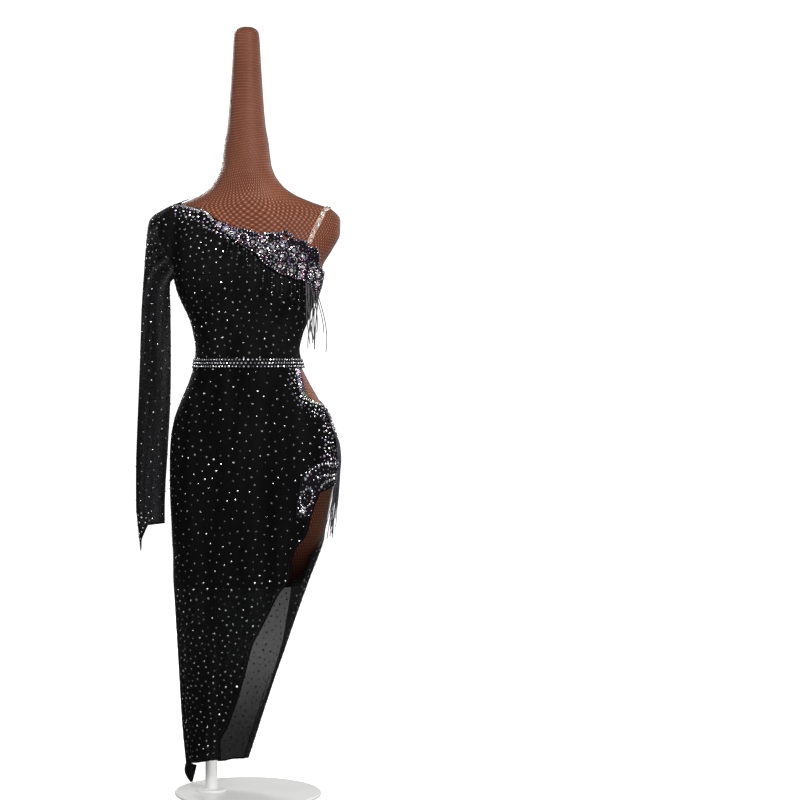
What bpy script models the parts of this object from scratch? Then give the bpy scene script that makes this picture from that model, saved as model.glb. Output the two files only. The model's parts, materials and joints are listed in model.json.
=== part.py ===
"""A one-sleeved latin dance dress on a limbless dress form, with a plain stand under the form.

Metres, +Z up. The front faces -Y, and the wearer's left is +X. The origin is the centre of the
base plate's underside. Angles go round the body in degrees: 0 front, 90 wearer's left, 180 back,
270 (or -90) wearer's right. Between those four they are the rounded section's own parameter, as on
a circle that is stretched to its width and depth.

Every cloth panel is a patch of one of two surfaces: the form's own, moved out by the cloth's
clearance, and the skirt's, which leaves the form at the thigh. A patch runs between two edges
that are angles at a height, and between a lower and an upper edge that are heights.
"""

import math

import bmesh
import bpy
from mathutils import Vector

COLLECTION = "latin_dance_dress"

# Walls and gaps
CLEAR = 0.0023  # form to the inner face of the cloth
CLOTH = 0.0015  # wall of a cloth panel
SEAM = 0.0003  # between pieces that are sewn together
SEAM_ANGLE = 0.14  # half of a side seam's gap, in degrees
TRIM_GAP = 0.0014  # cloth to what lies on it
TRIM_LIFT = CLEAR + CLOTH + TRIM_GAP
STEP = 0.0004  # step of the differences that give a surface's normal

# Stations up the body: height, wearer's right, wearer's left, front, back, middle, roundness.
# Right and left are X, front and back are Y at the centre line, and middle is the Y of the sides.
FORM_ROWS = (
    (0.4280, -0.131, 0.106, -0.078, 0.082, 0.004, 2.20),
    (0.4380, -0.138, 0.114, -0.084, 0.088, 0.004, 2.20),
    (0.4790, -0.145, 0.131, -0.089, 0.096, 0.004, 2.20),
    (0.5200, -0.150, 0.149, -0.093, 0.105, 0.005, 2.25),
    (0.5610, -0.154, 0.160, -0.096, 0.112, 0.006, 2.30),
    (0.6020, -0.156, 0.168, -0.099, 0.119, 0.006, 2.35),
    (0.6430, -0.157, 0.177, -0.101, 0.126, 0.006, 2.40),
    (0.6840, -0.157, 0.182, -0.102, 0.128, 0.006, 2.40),
    (0.7250, -0.155, 0.178, -0.101, 0.123, 0.005, 2.40),
    (0.7660, -0.148, 0.166, -0.097, 0.112, 0.004, 2.40),
    (0.8070, -0.133, 0.146, -0.091, 0.098, 0.002, 2.35),
    (0.8480, -0.116, 0.123, -0.084, 0.087, 0.000, 2.30),
    (0.8830, -0.1065, 0.107, -0.080, 0.081, 0.000, 2.25),
    (0.9100, -0.104, 0.102, -0.079, 0.080, 0.000, 2.25),
    (0.9400, -0.108, 0.108, -0.082, 0.083, 0.000, 2.25),
    (0.9710, -0.116, 0.120, -0.086, 0.087, 0.000, 2.30),
    (1.0020, -0.130, 0.130, -0.090, 0.090, 0.000, 2.30),
    (1.0300, -0.142, 0.143, -0.094, 0.092, 0.000, 2.30),
    (1.0530, -0.148, 0.149, -0.095, 0.093, 0.001, 2.30),
    (1.0800, -0.153, 0.153, -0.092, 0.094, 0.003, 2.30),
    (1.1150, -0.170, 0.173, -0.085, 0.094, 0.006, 2.30),
    (1.1500, -0.185, 0.1895, -0.073, 0.089, 0.008, 2.30),
    (1.1760, -0.185, 0.1900, -0.062, 0.080, 0.009, 2.30),
    (1.1965, -0.169, 0.174, -0.053, 0.071, 0.009, 2.25),
    (1.2130, -0.128, 0.131, -0.047, 0.063, 0.008, 2.20),
    (1.2295, -0.094, 0.094, -0.045, 0.058, 0.007, 2.10),
    (1.2460, -0.075, 0.072, -0.047, 0.057, 0.006, 2.00),
    (1.2700, -0.061, 0.055, -0.050, 0.061, 0.006, 2.00),
    (1.2910, -0.054, 0.048, -0.045, 0.057, 0.006, 2.00),
    (1.3320, -0.049, 0.043, -0.040, 0.052, 0.006, 2.00),
    (1.3730, -0.042, 0.036, -0.033, 0.045, 0.006, 2.00),
    (1.4345, -0.037, 0.031, -0.028, 0.040, 0.006, 2.00),
    (1.4960, -0.033, 0.027, -0.024, 0.036, 0.006, 2.00),
    (1.5575, -0.029, 0.023, -0.020, 0.032, 0.006, 2.00),
    (1.5660, -0.025, 0.019, -0.016, 0.028, 0.006, 2.00),
    (1.5710, -0.017, 0.011, -0.008, 0.020, 0.006, 2.00),
)
FORM_COLUMNS = 36
# Ranges of height where the form has a row between each two stations as well
FORM_CLOSER = ((0.760, 1.004), (1.050, 1.120), (1.170, 1.247))

# Bust cups: centres either side of the middle, and how far they reach forward
CUP_X, CUP_HEIGHT, CUP_DEPTH = 0.074, 1.040, 0.022
CUP_WIDE, CUP_TALL = 0.044, 0.050

# The skirt's own stations, below the height at which it leaves the form; columns as above
SKIRT_LEAVES_FORM = 0.560
SKIRT_ROWS = (
    (0.030, -0.118, -0.020, -0.056, 0.052, 0.000, 2.10),
    (0.069, -0.124, -0.006, -0.062, 0.058, 0.000, 2.10),
    (0.151, -0.132, 0.021, -0.070, 0.068, 0.000, 2.10),
    (0.233, -0.137, 0.048, -0.077, 0.077, 0.000, 2.10),
    (0.315, -0.142, 0.078, -0.083, 0.085, 0.002, 2.15),
    (0.397, -0.147, 0.107, -0.090, 0.095, 0.004, 2.20),
    (0.452, -0.150, 0.127, -0.093, 0.101, 0.005, 2.20),
    (0.485, -0.150, 0.140, -0.094, 0.104, 0.005, 2.20),
    (0.520, -0.152, 0.152, -0.096, 0.108, 0.005, 2.25),
) + tuple(row for row in FORM_ROWS if row[0] >= SKIRT_LEAVES_FORM)

# Soft folds of the hanging skirt: angle, height where it fades out, depth outwards, half-width
SKIRT_FOLDS = (
    (-66.0, 0.430, -0.0040, 13.0),
    (-40.0, 0.400, 0.0050, 14.0),
    (-12.0, 0.420, -0.0045, 12.0),
    (108.0, 0.380, -0.0040, 12.0),
    (133.0, 0.430, 0.0050, 14.0),
    (158.0, 0.400, -0.0050, 13.0),
    (184.0, 0.430, 0.0050, 14.0),
    (210.0, 0.390, -0.0045, 13.0),
    (236.0, 0.420, 0.0045, 13.0),
)
FOLD_FADE = 0.22  # height over which a fold grows to its full depth

WAIST = 0.883  # seam between bodice and skirt, under the belt
ARMPIT = 1.057

# Edges of the front, as X and height on the front of the body
NECKLINE = (
    (-0.121, 1.2140),
    (-0.096, 1.1930),
    (-0.068, 1.1720),
    (-0.037, 1.1580),
    (-0.012, 1.1420),
    (0.020, 1.1320),
    (0.055, 1.1290),
    (0.088, 1.1200),
    (0.113, 1.1130),
    (0.127, 1.0980),
    (0.138, 1.0800),
)
SIDE_TOP = 1.0640  # top of the front at the wearer's left side
HIP_CUT_OUT = (
    (0.099, 0.8830),
    (0.102, 0.8720),
    (0.107, 0.8510),
    (0.111, 0.8320),
    (0.119, 0.8140),
    (0.133, 0.8015),
)
SIDE_CUT_OUT = 0.7950  # lowest point of the cut-out, at the side
SLIT_TOP = 0.6400
SLIT_EDGE = (
    (0.143, 0.6225),
    (0.127, 0.5770),
    (0.116, 0.5360),
    (0.096, 0.5100),
    (0.086, 0.4790),
    (0.083, 0.4480),
    (0.061, 0.4180),
    (0.032, 0.3600),
    (0.008, 0.3130),
    (-0.006, 0.2580),
    (-0.021, 0.2060),
    (-0.040, 0.1520),
    (-0.056, 0.1160),
    (-0.055, 0.0840),
)

# The back panel's edge by the slit: height and angle. It sits behind the thigh, then wraps forward.
WRAP_EDGE = (
    (0.070, 67.0),
    (0.150, 63.0),
    (0.240, 68.0),
    (0.313, 63.0),
    (0.360, 55.5),
    (0.400, 50.5),
    (0.440, 45.5),
    (0.465, 43.0),
    (0.485, 45.0),
    (0.505, 66.0),
    (0.530, 92.0),
    (0.560, 95.0),
    (0.622, 90.0),
)

# Edges of the back, as X and height on the back of the body
BACK_DIP = (
    (-0.088, 0.8720),
    (-0.059, 0.8560),
    (-0.010, 0.8380),
    (0.031, 0.8290),
    (0.083, 0.8230),
    (0.128, 0.8160),
)
OPEN_BACK = (
    (-0.076, 0.8990),
    (-0.096, 0.9505),
    (-0.109, 1.0115),
    (-0.122, 1.0650),
    (-0.129, 1.1145),
    (-0.136, 1.1760),
    (-0.137, 1.2000),
)
OPEN_BACK_WAIST_X = -0.070

# Hems: the fraction across the panel and the height
FRONT_HEM = ((0.0, 0.068), (0.3, 0.070), (1.0, 0.084))
BACK_HEM = ((0.0, 0.083), (0.2, 0.070), (0.55, 0.056), (1.0, 0.066))

# The armhole, as height and X, and the shoulder point that it runs up to
ARMHOLE = ((1.0570, -0.1480), (1.0800, -0.1495), (1.1100, -0.1515), (1.1500, -0.1545), (1.1850, -0.1580))
ARMHOLE_TOP_X = -0.160

# Sleeve rings below the armhole, as the outer face of the cloth: inner X, inner height, outer X,
# outer height, reach to the front and to the back
SLEEVE_RINGS = (
    (-0.1565, 1.0520, -0.1790, 1.1950, 0.052, 0.055),
    (-0.1580, 1.0500, -0.1930, 1.1865, 0.053, 0.057),
    (-0.1590, 1.0470, -0.2035, 1.1720, 0.050, 0.055),
    (-0.1595, 1.0430, -0.2075, 1.1470, 0.044, 0.050),
    (-0.1600, 1.0360, -0.2105, 1.1150, 0.036, 0.042),
    (-0.1600, 1.0250, -0.2130, 1.0800, 0.029, 0.034),
    (-0.1590, 1.0050, -0.2160, 1.0400, 0.023, 0.027),
    (-0.1585, 0.9700, -0.2190, 0.9900, 0.020, 0.023),
    (-0.1580, 0.9200, -0.2210, 0.9300, 0.018, 0.020),
    (-0.1580, 0.8650, -0.2230, 0.8700, 0.017, 0.018),
    (-0.1590, 0.8050, -0.2255, 0.8070, 0.016, 0.017),
    (-0.1620, 0.7450, -0.2280, 0.7450, 0.016, 0.016),
    (-0.1655, 0.6850, -0.2300, 0.6850, 0.015, 0.016),
    (-0.1690, 0.6300, -0.2305, 0.6300, 0.015, 0.015),
    (-0.1705, 0.5850, -0.2300, 0.5830, 0.015, 0.015),
    (-0.1705, 0.5550, -0.2295, 0.5490, 0.015, 0.015),
)
SLEEVE_MIDDLE = 0.006  # Y of the sleeve's axis
SLEEVE_COLUMNS = 20
CUFF_POINT_DROP = 0.051
CUFF_POINT_IN = 0.0085  # the point's tip leans in from the outer edge
CUFF_POINT_HALF, CUFF_POINT_CURVE = 78.0, 1.7  # how far round it goes, and how full its sides are
# Vertical folds in the sleeve: angle from its outer edge, depth inwards and half-width
SLEEVE_FOLDS = ((62.0, 0.0030, 14.0), (112.0, 0.0025, 13.0), (238.0, 0.0030, 14.0), (292.0, 0.0025, 14.0))
SLEEVE_FOLD_TOP, SLEEVE_FOLD_FADE = 1.030, 0.080

# Belt
BELT_LOW, BELT_HIGH, BELT_WALL = 0.8710, 0.8905, 0.0022
BELT_COLUMNS = 40

# Straps
STRAP_LIFT, STRAP_WALL = 0.0018, 0.0014
SHOULDER_STRAP_WIDTH, BACK_STRAP_WIDTH = 0.010, 0.012
SHOULDER_STRAP_FRONT = (
    (0.122, 1.1230),
    (0.129, 1.1400),
    (0.139, 1.1600),
    (0.149, 1.1800),
    (0.156, 1.1930),
)
SHOULDER_STRAP_BACK = (
    (0.166, 1.1860),
    (0.161, 1.1600),
    (0.155, 1.1300),
    (0.147, 1.1000),
    (0.139, 1.0700),
    (0.133, 1.0510),
)
SHOULDER_STRAP_TOP_X = 0.164
BACK_STRAP = (
    (0.139, 1.0430),
    (0.090, 1.0420),
    (0.041, 1.0390),
    (-0.010, 1.0360),
    (-0.060, 1.0320),
    (-0.112, 1.0280),
)
BACK_STRAP_SIDE = (96.0, 1.0430)  # angle and height of its end at the side
SLIDER_X, SLIDER_HEIGHT, SLIDER_SIZE = 0.041, 1.0390, (0.009, 0.0018, 0.016)

# Appliques: thickness, and edges
APPLIQUE_WALL = 0.0012
# Along the neckline: X, top and bottom
NECK_APPLIQUE = (
    (-0.072, 1.1700, 1.1600),
    (-0.050, 1.1620, 1.1460),
    (-0.030, 1.1530, 1.1300),
    (-0.010, 1.1480, 1.1160),
    (0.012, 1.1420, 1.1030),
    (0.032, 1.1380, 1.0830),
    (0.052, 1.1390, 1.0670),
    (0.074, 1.1450, 1.0570),
    (0.092, 1.1300, 1.0520),
    (0.112, 1.1240, 1.0480),
    (0.127, 1.1070, 1.0360),
    (0.138, 1.0850, 1.0260),
    (0.1475, 1.0680, 1.0180),
)
NECK_APPLIQUE_COLUMNS, NECK_SCALLOPS, SCALLOP = 36, 9, 0.004
# The open ring in its top edge: the columns round it and the radius of its hole
OPEN_RING_COLUMNS, OPEN_RING_RADIUS = (12, 15), 0.0055
# Round the hip and the top of the slit: height, first and last angle
HIP_APPLIQUE = (
    (0.570, 31.5, 46.0),
    (0.592, 30.0, 47.0),
    (0.6225, 29.5, 50.0),
    (0.644, 29.5, 94.0),
    (0.658, 31.0, 100.0),
    (0.674, 37.5, 104.0),
    (0.690, 57.5, 106.0),
    (0.725, 74.0, 108.0),
    (0.760, 71.0, 109.0),
    (0.788, 69.0, 110.0),
)
HIP_APPLIQUE_COLUMNS = 8
HIP_APPLIQUE_TURN = (0.620, 0.646)  # where its edge turns round the side

# Fringes: strand width, strip height, and each strand's length
STRAND, FRINGE_STRIP = 0.0018, 0.0040
STRAND_SEGMENTS = 4
BUST_STRANDS, HIP_STRANDS = 24, 14
BUST_FRINGE_X = (-0.040, 0.1475)
BUST_FRINGE_LENGTHS = (0.050, 0.125)
HIP_FRINGE_LIFT = TRIM_LIFT + APPLIQUE_WALL + TRIM_GAP
STRAND_SWING = 0.0015  # how much further out a strand hangs than its root
HIP_FRINGE_ENDS = ((72.0, 0.738), (108.0, 0.700))
HIP_FRINGE_LENGTHS = (0.130, 0.190)

# Corner of the hem at the wearer's right side
TAIL_ANGLES = (-91.0, -35.0)
TAIL_DROP = 0.0030  # its root, below the hem's corner
TAIL_TIP = Vector((-0.1155, -0.020, 0.028))
TAIL_FLARE = 0.007  # how far its outer corner stands out

# Stand
BASE_RADIUS, BASE_THICK, BASE_ROUND = 0.150, 0.006, 0.0015
POLE_X, POLE_RADIUS = -0.075, 0.0125
FOOT_FLANGE, HEAD_FLANGE = (0.030, 0.005), (0.036, 0.004)
POLE_SIDES = 24


def smooth_between(rows, at, column):
    """The column's value at a place in a table's first column, on a curve with no overshoot."""
    if at <= rows[0][0]:
        return rows[0][column]
    if at >= rows[-1][0]:
        return rows[-1][column]
    i = next(k for k in range(len(rows) - 1) if at <= rows[k + 1][0])

    def slope(k):
        return (rows[k + 1][column] - rows[k][column]) / (rows[k + 1][0] - rows[k][0])

    def tangent(k):
        if k == 0 or k == len(rows) - 1:
            return slope(min(k, len(rows) - 2))
        before, after = slope(k - 1), slope(k)
        if before * after <= 0:
            return 0.0
        return 2 * before * after / (before + after)

    width = rows[i + 1][0] - rows[i][0]
    f = (at - rows[i][0]) / width
    start, end = rows[i][column], rows[i + 1][column]
    return (
        (1 + 2 * f) * (1 - f) ** 2 * start
        + f * (1 - f) ** 2 * width * tangent(i)
        + f * f * (3 - 2 * f) * end
        + f * f * (f - 1) * width * tangent(i + 1)
    )


def line_between(rows, at, column=1):
    """The same on straight lines, for a table in either order."""
    rows = sorted(rows)
    if at <= rows[0][0]:
        return rows[0][column]
    for low, high in zip(rows, rows[1:]):
        if at <= high[0]:
            f = (at - low[0]) / (high[0] - low[0])
            return low[column] + f * (high[column] - low[column])
    return rows[-1][column]


def mix(start, end, f):
    return start + (end - start) * f


def smoothstep(f):
    f = min(1.0, max(0.0, f))
    return f * f * (3 - 2 * f)


def bell(distance, half_width):
    """1 at the middle of a fold, 0 at its edges and past them."""
    f = abs((distance + 180) % 360 - 180) / half_width
    return 0.0 if f >= 1 else (1 + math.cos(math.pi * f)) / 2


def section(rows, height):
    """Middle X, half-width, front reach, back reach, middle Y and roundness at a height."""
    right, left, front, back, middle, power = (smooth_between(rows, height, k) for k in range(1, 7))
    return (left + right) / 2, (left - right) / 2, middle - front, back - middle, middle, power


def cup(x, height):
    """How far the bust reaches forward of the plain section."""
    across = (abs(x) - CUP_X) / CUP_WIDE
    up = (height - CUP_HEIGHT) / CUP_TALL
    return CUP_DEPTH * math.exp(-across * across - up * up)


def skirt_fold(angle, height):
    return sum(
        depth * bell(angle - at, half) * smoothstep((top - height) / FOLD_FADE)
        for at, top, depth, half in SKIRT_FOLDS
    )


def surface(rows, angle, height):
    """A point of the form (or of the skirt) at an angle and a height."""
    centre, wide, front, back, middle, power = section(rows, height)
    s, c = math.sin(math.radians(angle)), math.cos(math.radians(angle))
    deep = front if c > 0 else back
    fold = skirt_fold(angle, height) if rows is SKIRT_ROWS else 0.0
    x = centre + math.copysign(abs(s) ** (2 / power), s) * (wide + fold)
    y = middle - math.copysign(abs(c) ** (2 / power), c) * (deep + fold)
    if c > 0:
        y -= cup(x - centre, height) * math.sqrt(c)
    return Vector((x, y, height))


def lifted(rows, angle, height, lift):
    """The point, moved out along the surface's normal."""
    round_step = math.degrees(STEP / 0.1)
    round_it = surface(rows, angle + round_step, height) - surface(rows, angle - round_step, height)
    up_it = surface(rows, angle, height + STEP) - surface(rows, angle, height - STEP)
    return surface(rows, angle, height) + round_it.cross(up_it).normalized() * lift


def angle_at(rows, x, height, back=False):
    """The angle of the point that has this X, on the front or on the back."""
    centre, wide, _, _, _, power = section(rows, height)
    share = min(1.0, abs(x - centre) / wide)
    angle = math.degrees(math.copysign(math.asin(share ** (power / 2)), x - centre))
    return 180 - angle if back else angle


def ridge_height(x):
    """Height of the shoulder's top at this X, where the form's side has come in to it."""
    column = 1 if x < 0 else 2
    low, high = 1.180, 1.240
    for _ in range(40):
        height = (low + high) / 2
        if abs(smooth_between(FORM_ROWS, height, column)) > abs(x):
            low = height
        else:
            high = height
    return low


ARMHOLE_TOP = ridge_height(ARMHOLE_TOP_X)
ARMHOLE_TABLE = ARMHOLE + ((ARMHOLE_TOP, ARMHOLE_TOP_X),)


def armhole_height(k):
    """The k-th of the heights that the armhole's edges share, from the shoulder down."""
    f = (1 + math.cos(math.tau * k / SLEEVE_COLUMNS)) / 2
    return mix(ARMPIT, ARMHOLE_TOP, f)


def armhole_angle(height, back=False):
    """The angle of the armhole's front or back edge. Below it and above it, that of the side."""
    side = 270.0 if back else -90.0
    if not ARMPIT < height < ARMHOLE_TOP:
        return side
    return angle_at(FORM_ROWS, smooth_between(ARMHOLE_TABLE, height, 1), height, back)


# Building


def material(name, colour, roughness, metallic=0.0):
    made = bpy.data.materials.new(name)
    made.use_nodes = True
    shader = made.node_tree.nodes["Principled BSDF"]
    shader.inputs["Base Color"].default_value = (*colour, 1.0)
    shader.inputs["Roughness"].default_value = roughness
    shader.inputs["Metallic"].default_value = metallic
    return made


def add_object(name, bm, made_of, solidify=None, offset=1.0):
    """Turns a bmesh into a node. solidify is the wall's thickness, outwards where offset is 1."""
    mesh = bpy.data.meshes.new(name)
    bm.to_mesh(mesh)
    bm.free()
    mesh.shade_smooth()
    mesh.set_sharp_from_angle(angle=math.radians(50))
    node = bpy.data.objects.new(name, mesh)
    bpy.data.collections[COLLECTION].objects.link(node)
    node.data.materials.append(made_of)
    if solidify:
        wall = node.modifiers.new("wall", "SOLIDIFY")
        wall.thickness = solidify
        wall.offset = offset
        wall.use_quality_normals = True
    return node


def loop_round(rows, gap):
    """What lies round a gap in the top row, anticlockwise from its lower left corner."""
    first, last = gap
    return rows[-2][first : last + 1] + rows[-1][first : last + 1][::-1]


def loft(rows, wrap=False, capped=False, gap=None, collar=()):
    """Faces between rows of points. Seen from outside, a row runs to the right and rows go up.
    gap is the first and last column left open in the top row, and collar the hole's points there."""
    bm = bmesh.new()
    verts = [[bm.verts.new(point) for point in row] for row in rows]
    for lower, upper in zip(verts, verts[1:]):
        count = len(lower)
        for i in range(count if wrap else count - 1):
            if gap and upper is verts[-1] and gap[0] <= i < gap[1]:
                continue
            j = (i + 1) % count
            bm.faces.new((lower[i], lower[j], upper[j], upper[i]))
    if collar:
        outer = loop_round(verts, gap)
        inner = [bm.verts.new(point) for point in collar]
        for i in range(len(outer)):
            j = (i + 1) % len(outer)
            bm.faces.new((outer[i], outer[j], inner[j], inner[i]))
    if capped:
        bm.faces.new(reversed(verts[0]))
        bm.faces.new(verts[-1])
    return bm


def panel(rows, start, end, low, high, levels, columns, lift=CLEAR):
    """Points of a patch: start and end give angles at a height, low and high heights at a share
    of the way across, and levels the shares of the way up."""
    points = []
    for level in levels:
        row = []
        for k in range(columns + 1):
            across = k / columns
            height = mix(low(across), high(across), level)
            row.append(lifted(rows, mix(start(height), end(height), across), height, lift))
        points.append(row)
    return points


def shares(heights):
    """Heights as shares of the way from the first to the last."""
    return [(height - heights[0]) / (heights[-1] - heights[0]) for height in heights]


def closer(heights, *ranges):
    """The heights, with one more between each two inside these ranges."""
    halves = [mix(a, b, 0.5) for a, b in zip(heights, heights[1:])]
    return sorted(heights + [z for z in halves if any(low < z < high for low, high in ranges)])


def form(made_of):
    rows = [
        [surface(FORM_ROWS, 360 * k / FORM_COLUMNS, height) for k in range(FORM_COLUMNS)]
        for height in closer([row[0] for row in FORM_ROWS], *FORM_CLOSER)
    ]
    add_object("form", loft(rows, wrap=True, capped=True), made_of)


def bodice_heights(shoulder):
    """Row heights at the side and armhole, the upper ones at the sleeve's own points."""
    below = [WAIST + SEAM / 2] + [mix(BELT_HIGH, ARMPIT, k / 8) for k in range(8)]
    beside = [armhole_height(k) for k in range(SLEEVE_COLUMNS // 2, -1, -1)]
    above = [mix(ARMHOLE_TOP, shoulder, k / 3) for k in (1, 2, 3)]
    return below + beside + above


def front_bodice(made_of):
    shoulder = ridge_height(NECKLINE[0][0])

    def start(height):
        return armhole_angle(height) + SEAM_ANGLE

    def end(height):
        if height < WAIST + 0.012:
            return mix(72.0, 88.0, smoothstep((height - WAIST) / 0.012))
        return 88.0

    def share_of(x, height):
        return (angle_at(FORM_ROWS, x, height) - start(height)) / (end(height) - start(height))

    top = [(0.0, shoulder)]
    top += [(share_of(x, height), height) for x, height in NECKLINE[1:]]
    top += [(1.0, SIDE_TOP)]
    points = panel(
        FORM_ROWS,
        start,
        end,
        lambda across: WAIST + SEAM / 2,
        lambda across: line_between(top, across),
        shares(bodice_heights(shoulder)),
        18,
    )
    add_object("front_bodice", loft(points), made_of, CLOTH)


def back_bodice(made_of):
    shoulder = ridge_height(-0.137)
    heights = bodice_heights(shoulder)
    edge = [(height, x) for x, height in OPEN_BACK]
    edge = [(WAIST, OPEN_BACK_WAIST_X)] + edge

    def start(height):
        x = smooth_between(edge, height, 1)
        return min(angle_at(FORM_ROWS, x, height, back=True), armhole_angle(height, back=True) - 1.5)

    points = panel(
        FORM_ROWS,
        start,
        lambda height: armhole_angle(height, back=True) - SEAM_ANGLE,
        lambda across: WAIST + SEAM / 2,
        lambda across: shoulder,
        shares(heights),
        5,
    )
    add_object("back_bodice", loft(points), made_of, CLOTH)


def slit_angle(height):
    """Right-hand edge of the front skirt: the cut-out, the side seam, then the slit."""
    side = 90.0 - SEAM_ANGLE
    if height >= SIDE_CUT_OUT:
        edge = [(z, x) for x, z in HIP_CUT_OUT]
        edge = [(SIDE_CUT_OUT, 0.152)] + sorted(edge)
        return min(side, angle_at(SKIRT_ROWS, line_between(edge, height), height))
    if height >= SLIT_TOP:
        return side
    edge = sorted((z, x) for x, z in SLIT_EDGE)
    if height >= edge[-1][0]:
        corner = angle_at(SKIRT_ROWS, edge[-1][1], edge[-1][0])
        return mix(corner, side, (height - edge[-1][0]) / (SLIT_TOP - edge[-1][0]))
    return angle_at(SKIRT_ROWS, smooth_between(edge, height, 1), height)


def front_skirt(made_of):
    heights = [0.070, 0.093, 0.118, 0.150, 0.185, 0.222, 0.258, 0.292, 0.325, 0.360, 0.392, 0.420]
    heights += [0.448, 0.479, 0.510, 0.540, 0.577, 0.602, 0.6225, 0.627, 0.631, 0.6355, 0.640]
    heights += [0.675, 0.715, 0.757]
    heights += [SIDE_CUT_OUT, 0.802, 0.814, 0.832, 0.852, 0.868, WAIST - SEAM / 2]
    points = panel(
        SKIRT_ROWS,
        lambda height: -90.0 + SEAM_ANGLE,
        slit_angle,
        lambda across: line_between(FRONT_HEM, across),
        lambda across: WAIST - SEAM / 2,
        shares(heights),
        18,
    )
    add_object("front_skirt", loft(points), made_of, CLOTH)


def back_skirt(made_of):
    heights = [0.083, 0.115, 0.150, 0.190, 0.230, 0.270, 0.313, 0.350, 0.385, 0.415, 0.440, 0.465]
    heights += [0.480, 0.490, 0.500, 0.510, 0.522, 0.536, 0.560, 0.590, 0.620, 0.645, 0.667, 0.688, 0.710]
    heights += [0.730, 0.748, 0.768, 0.783, SIDE_CUT_OUT]

    def start(height):
        return smooth_between(WRAP_EDGE, height, 1) + SEAM_ANGLE

    end = 270.0 - SEAM_ANGLE
    dip = [(0.0, SIDE_CUT_OUT)]
    dip += [((angle_at(SKIRT_ROWS, x, z, back=True) - 90) / 180, z) for x, z in BACK_DIP]
    dip += [(0.88, WAIST - SEAM / 2), (1.0, WAIST - SEAM / 2)]
    points = panel(
        SKIRT_ROWS,
        start,
        lambda height: end,
        lambda across: line_between(BACK_HEM, across),
        lambda across: line_between(dip, across),
        shares(heights),
        22,
    )
    add_object("back_skirt", loft(points), made_of, CLOTH)


def armhole_ring():
    """The sleeve's edge on the body, from the shoulder round the front to the armpit and back."""
    ring = []
    for k in range(SLEEVE_COLUMNS):
        height = armhole_height(k)
        point = lifted(FORM_ROWS, armhole_angle(height, back=k > SLEEVE_COLUMNS // 2), height, CLEAR + CLOTH)
        ring.append(point - Vector((SEAM, 0, 0)))
    return ring


def sleeve_ring(row, cuff=False):
    inner_x, inner_z, outer_x, outer_z, front, back = row
    ring = []
    for k in range(SLEEVE_COLUMNS):
        turn = 360 * k / SLEEVE_COLUMNS
        c, s = math.cos(math.radians(turn)), math.sin(math.radians(turn))
        x = mix(inner_x, outer_x, (1 + c) / 2)
        height = mix(inner_z, outer_z, (1 + c) / 2)
        fold = sum(depth * bell(turn - at, half) for at, depth, half in SLEEVE_FOLDS)
        fold *= smoothstep((SLEEVE_FOLD_TOP - height) / SLEEVE_FOLD_FADE)
        reach = (front if s > 0 else back) - fold
        if cuff:
            point = max(0.0, 1 - (min(turn, 360 - turn) / CUFF_POINT_HALF) ** CUFF_POINT_CURVE)
            x += CUFF_POINT_IN * smoothstep(2 * point - 1)
            height -= CUFF_POINT_DROP * point
        ring.append(Vector((x, SLEEVE_MIDDLE - reach * s, height)))
    return ring


def sleeve(made_of):
    rings = [sleeve_ring(SLEEVE_RINGS[-1], cuff=True)]
    rings += [sleeve_ring(row) for row in reversed(SLEEVE_RINGS[:-1])]
    rings.append(armhole_ring())
    add_object("sleeve", loft(rings, wrap=True), made_of, CLOTH, offset=-1.0)


def hem_tail(made_of):
    rows = []
    for level in (0.0, 0.5, 1.0):
        row = []
        for k in range(5):
            angle = mix(*TAIL_ANGLES, k / 4)
            foot = TAIL_TIP + Vector((mix(-0.002, 0.002, k / 4), 0, 0))
            hem = lifted(SKIRT_ROWS, angle, FRONT_HEM[0][1] - TAIL_DROP, CLEAR)
            flare = Vector((TAIL_FLARE * (1 - k / 4) * math.sin(math.pi * level), 0, 0))
            row.append(foot.lerp(hem, level) - flare)
        rows.append(row)
    add_object("hem_tail", loft(rows), made_of, CLOTH)


def belt(made_of):
    rows = [
        [lifted(FORM_ROWS, 360 * k / BELT_COLUMNS, height, TRIM_LIFT) for k in range(BELT_COLUMNS)]
        for height in (BELT_LOW, (BELT_LOW + BELT_HIGH) / 2, BELT_HIGH)
    ]
    add_object("belt", loft(rows, wrap=True), made_of, BELT_WALL)


def ribbon(stations, width, lift):
    """Rows across a band that follows the form through angles and heights."""
    path = [lifted(FORM_ROWS, angle, height, lift) for angle, height in stations]
    rows = []
    for k, (angle, height) in enumerate(stations):
        along = path[min(k + 1, len(path) - 1)] - path[max(k - 1, 0)]
        out = lifted(FORM_ROWS, angle, height, lift + STEP) - path[k]
        across = along.cross(out).normalized() * width / 2
        rows.append([path[k] - across, path[k], path[k] + across])
    return rows


def halfway(stations):
    """The stations with one more between each two."""
    closer = [stations[0]]
    for before, after in zip(stations, stations[1:]):
        closer += [(mix(before[0], after[0], 0.5), mix(before[1], after[1], 0.5)), after]
    return closer


def shoulder_strap(made_of):
    front = [(angle_at(FORM_ROWS, x, z), z) for x, z in SHOULDER_STRAP_FRONT]
    back = [(angle_at(FORM_ROWS, x, z, back=True), z) for x, z in SHOULDER_STRAP_BACK]
    top = [(90.0, ridge_height(SHOULDER_STRAP_TOP_X))]
    stations = halfway(front + top + back)
    band = ribbon(stations, SHOULDER_STRAP_WIDTH, STRAP_LIFT)
    add_object("shoulder_strap", loft(band), made_of, STRAP_WALL)


def back_strap(made_of):
    across = [(angle_at(FORM_ROWS, x, z, back=True), z) for x, z in BACK_STRAP]
    stations = halfway(halfway([BACK_STRAP_SIDE] + across))
    band = ribbon(stations, BACK_STRAP_WIDTH, STRAP_LIFT)
    add_object("back_strap", loft(band), made_of, STRAP_WALL)


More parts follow.
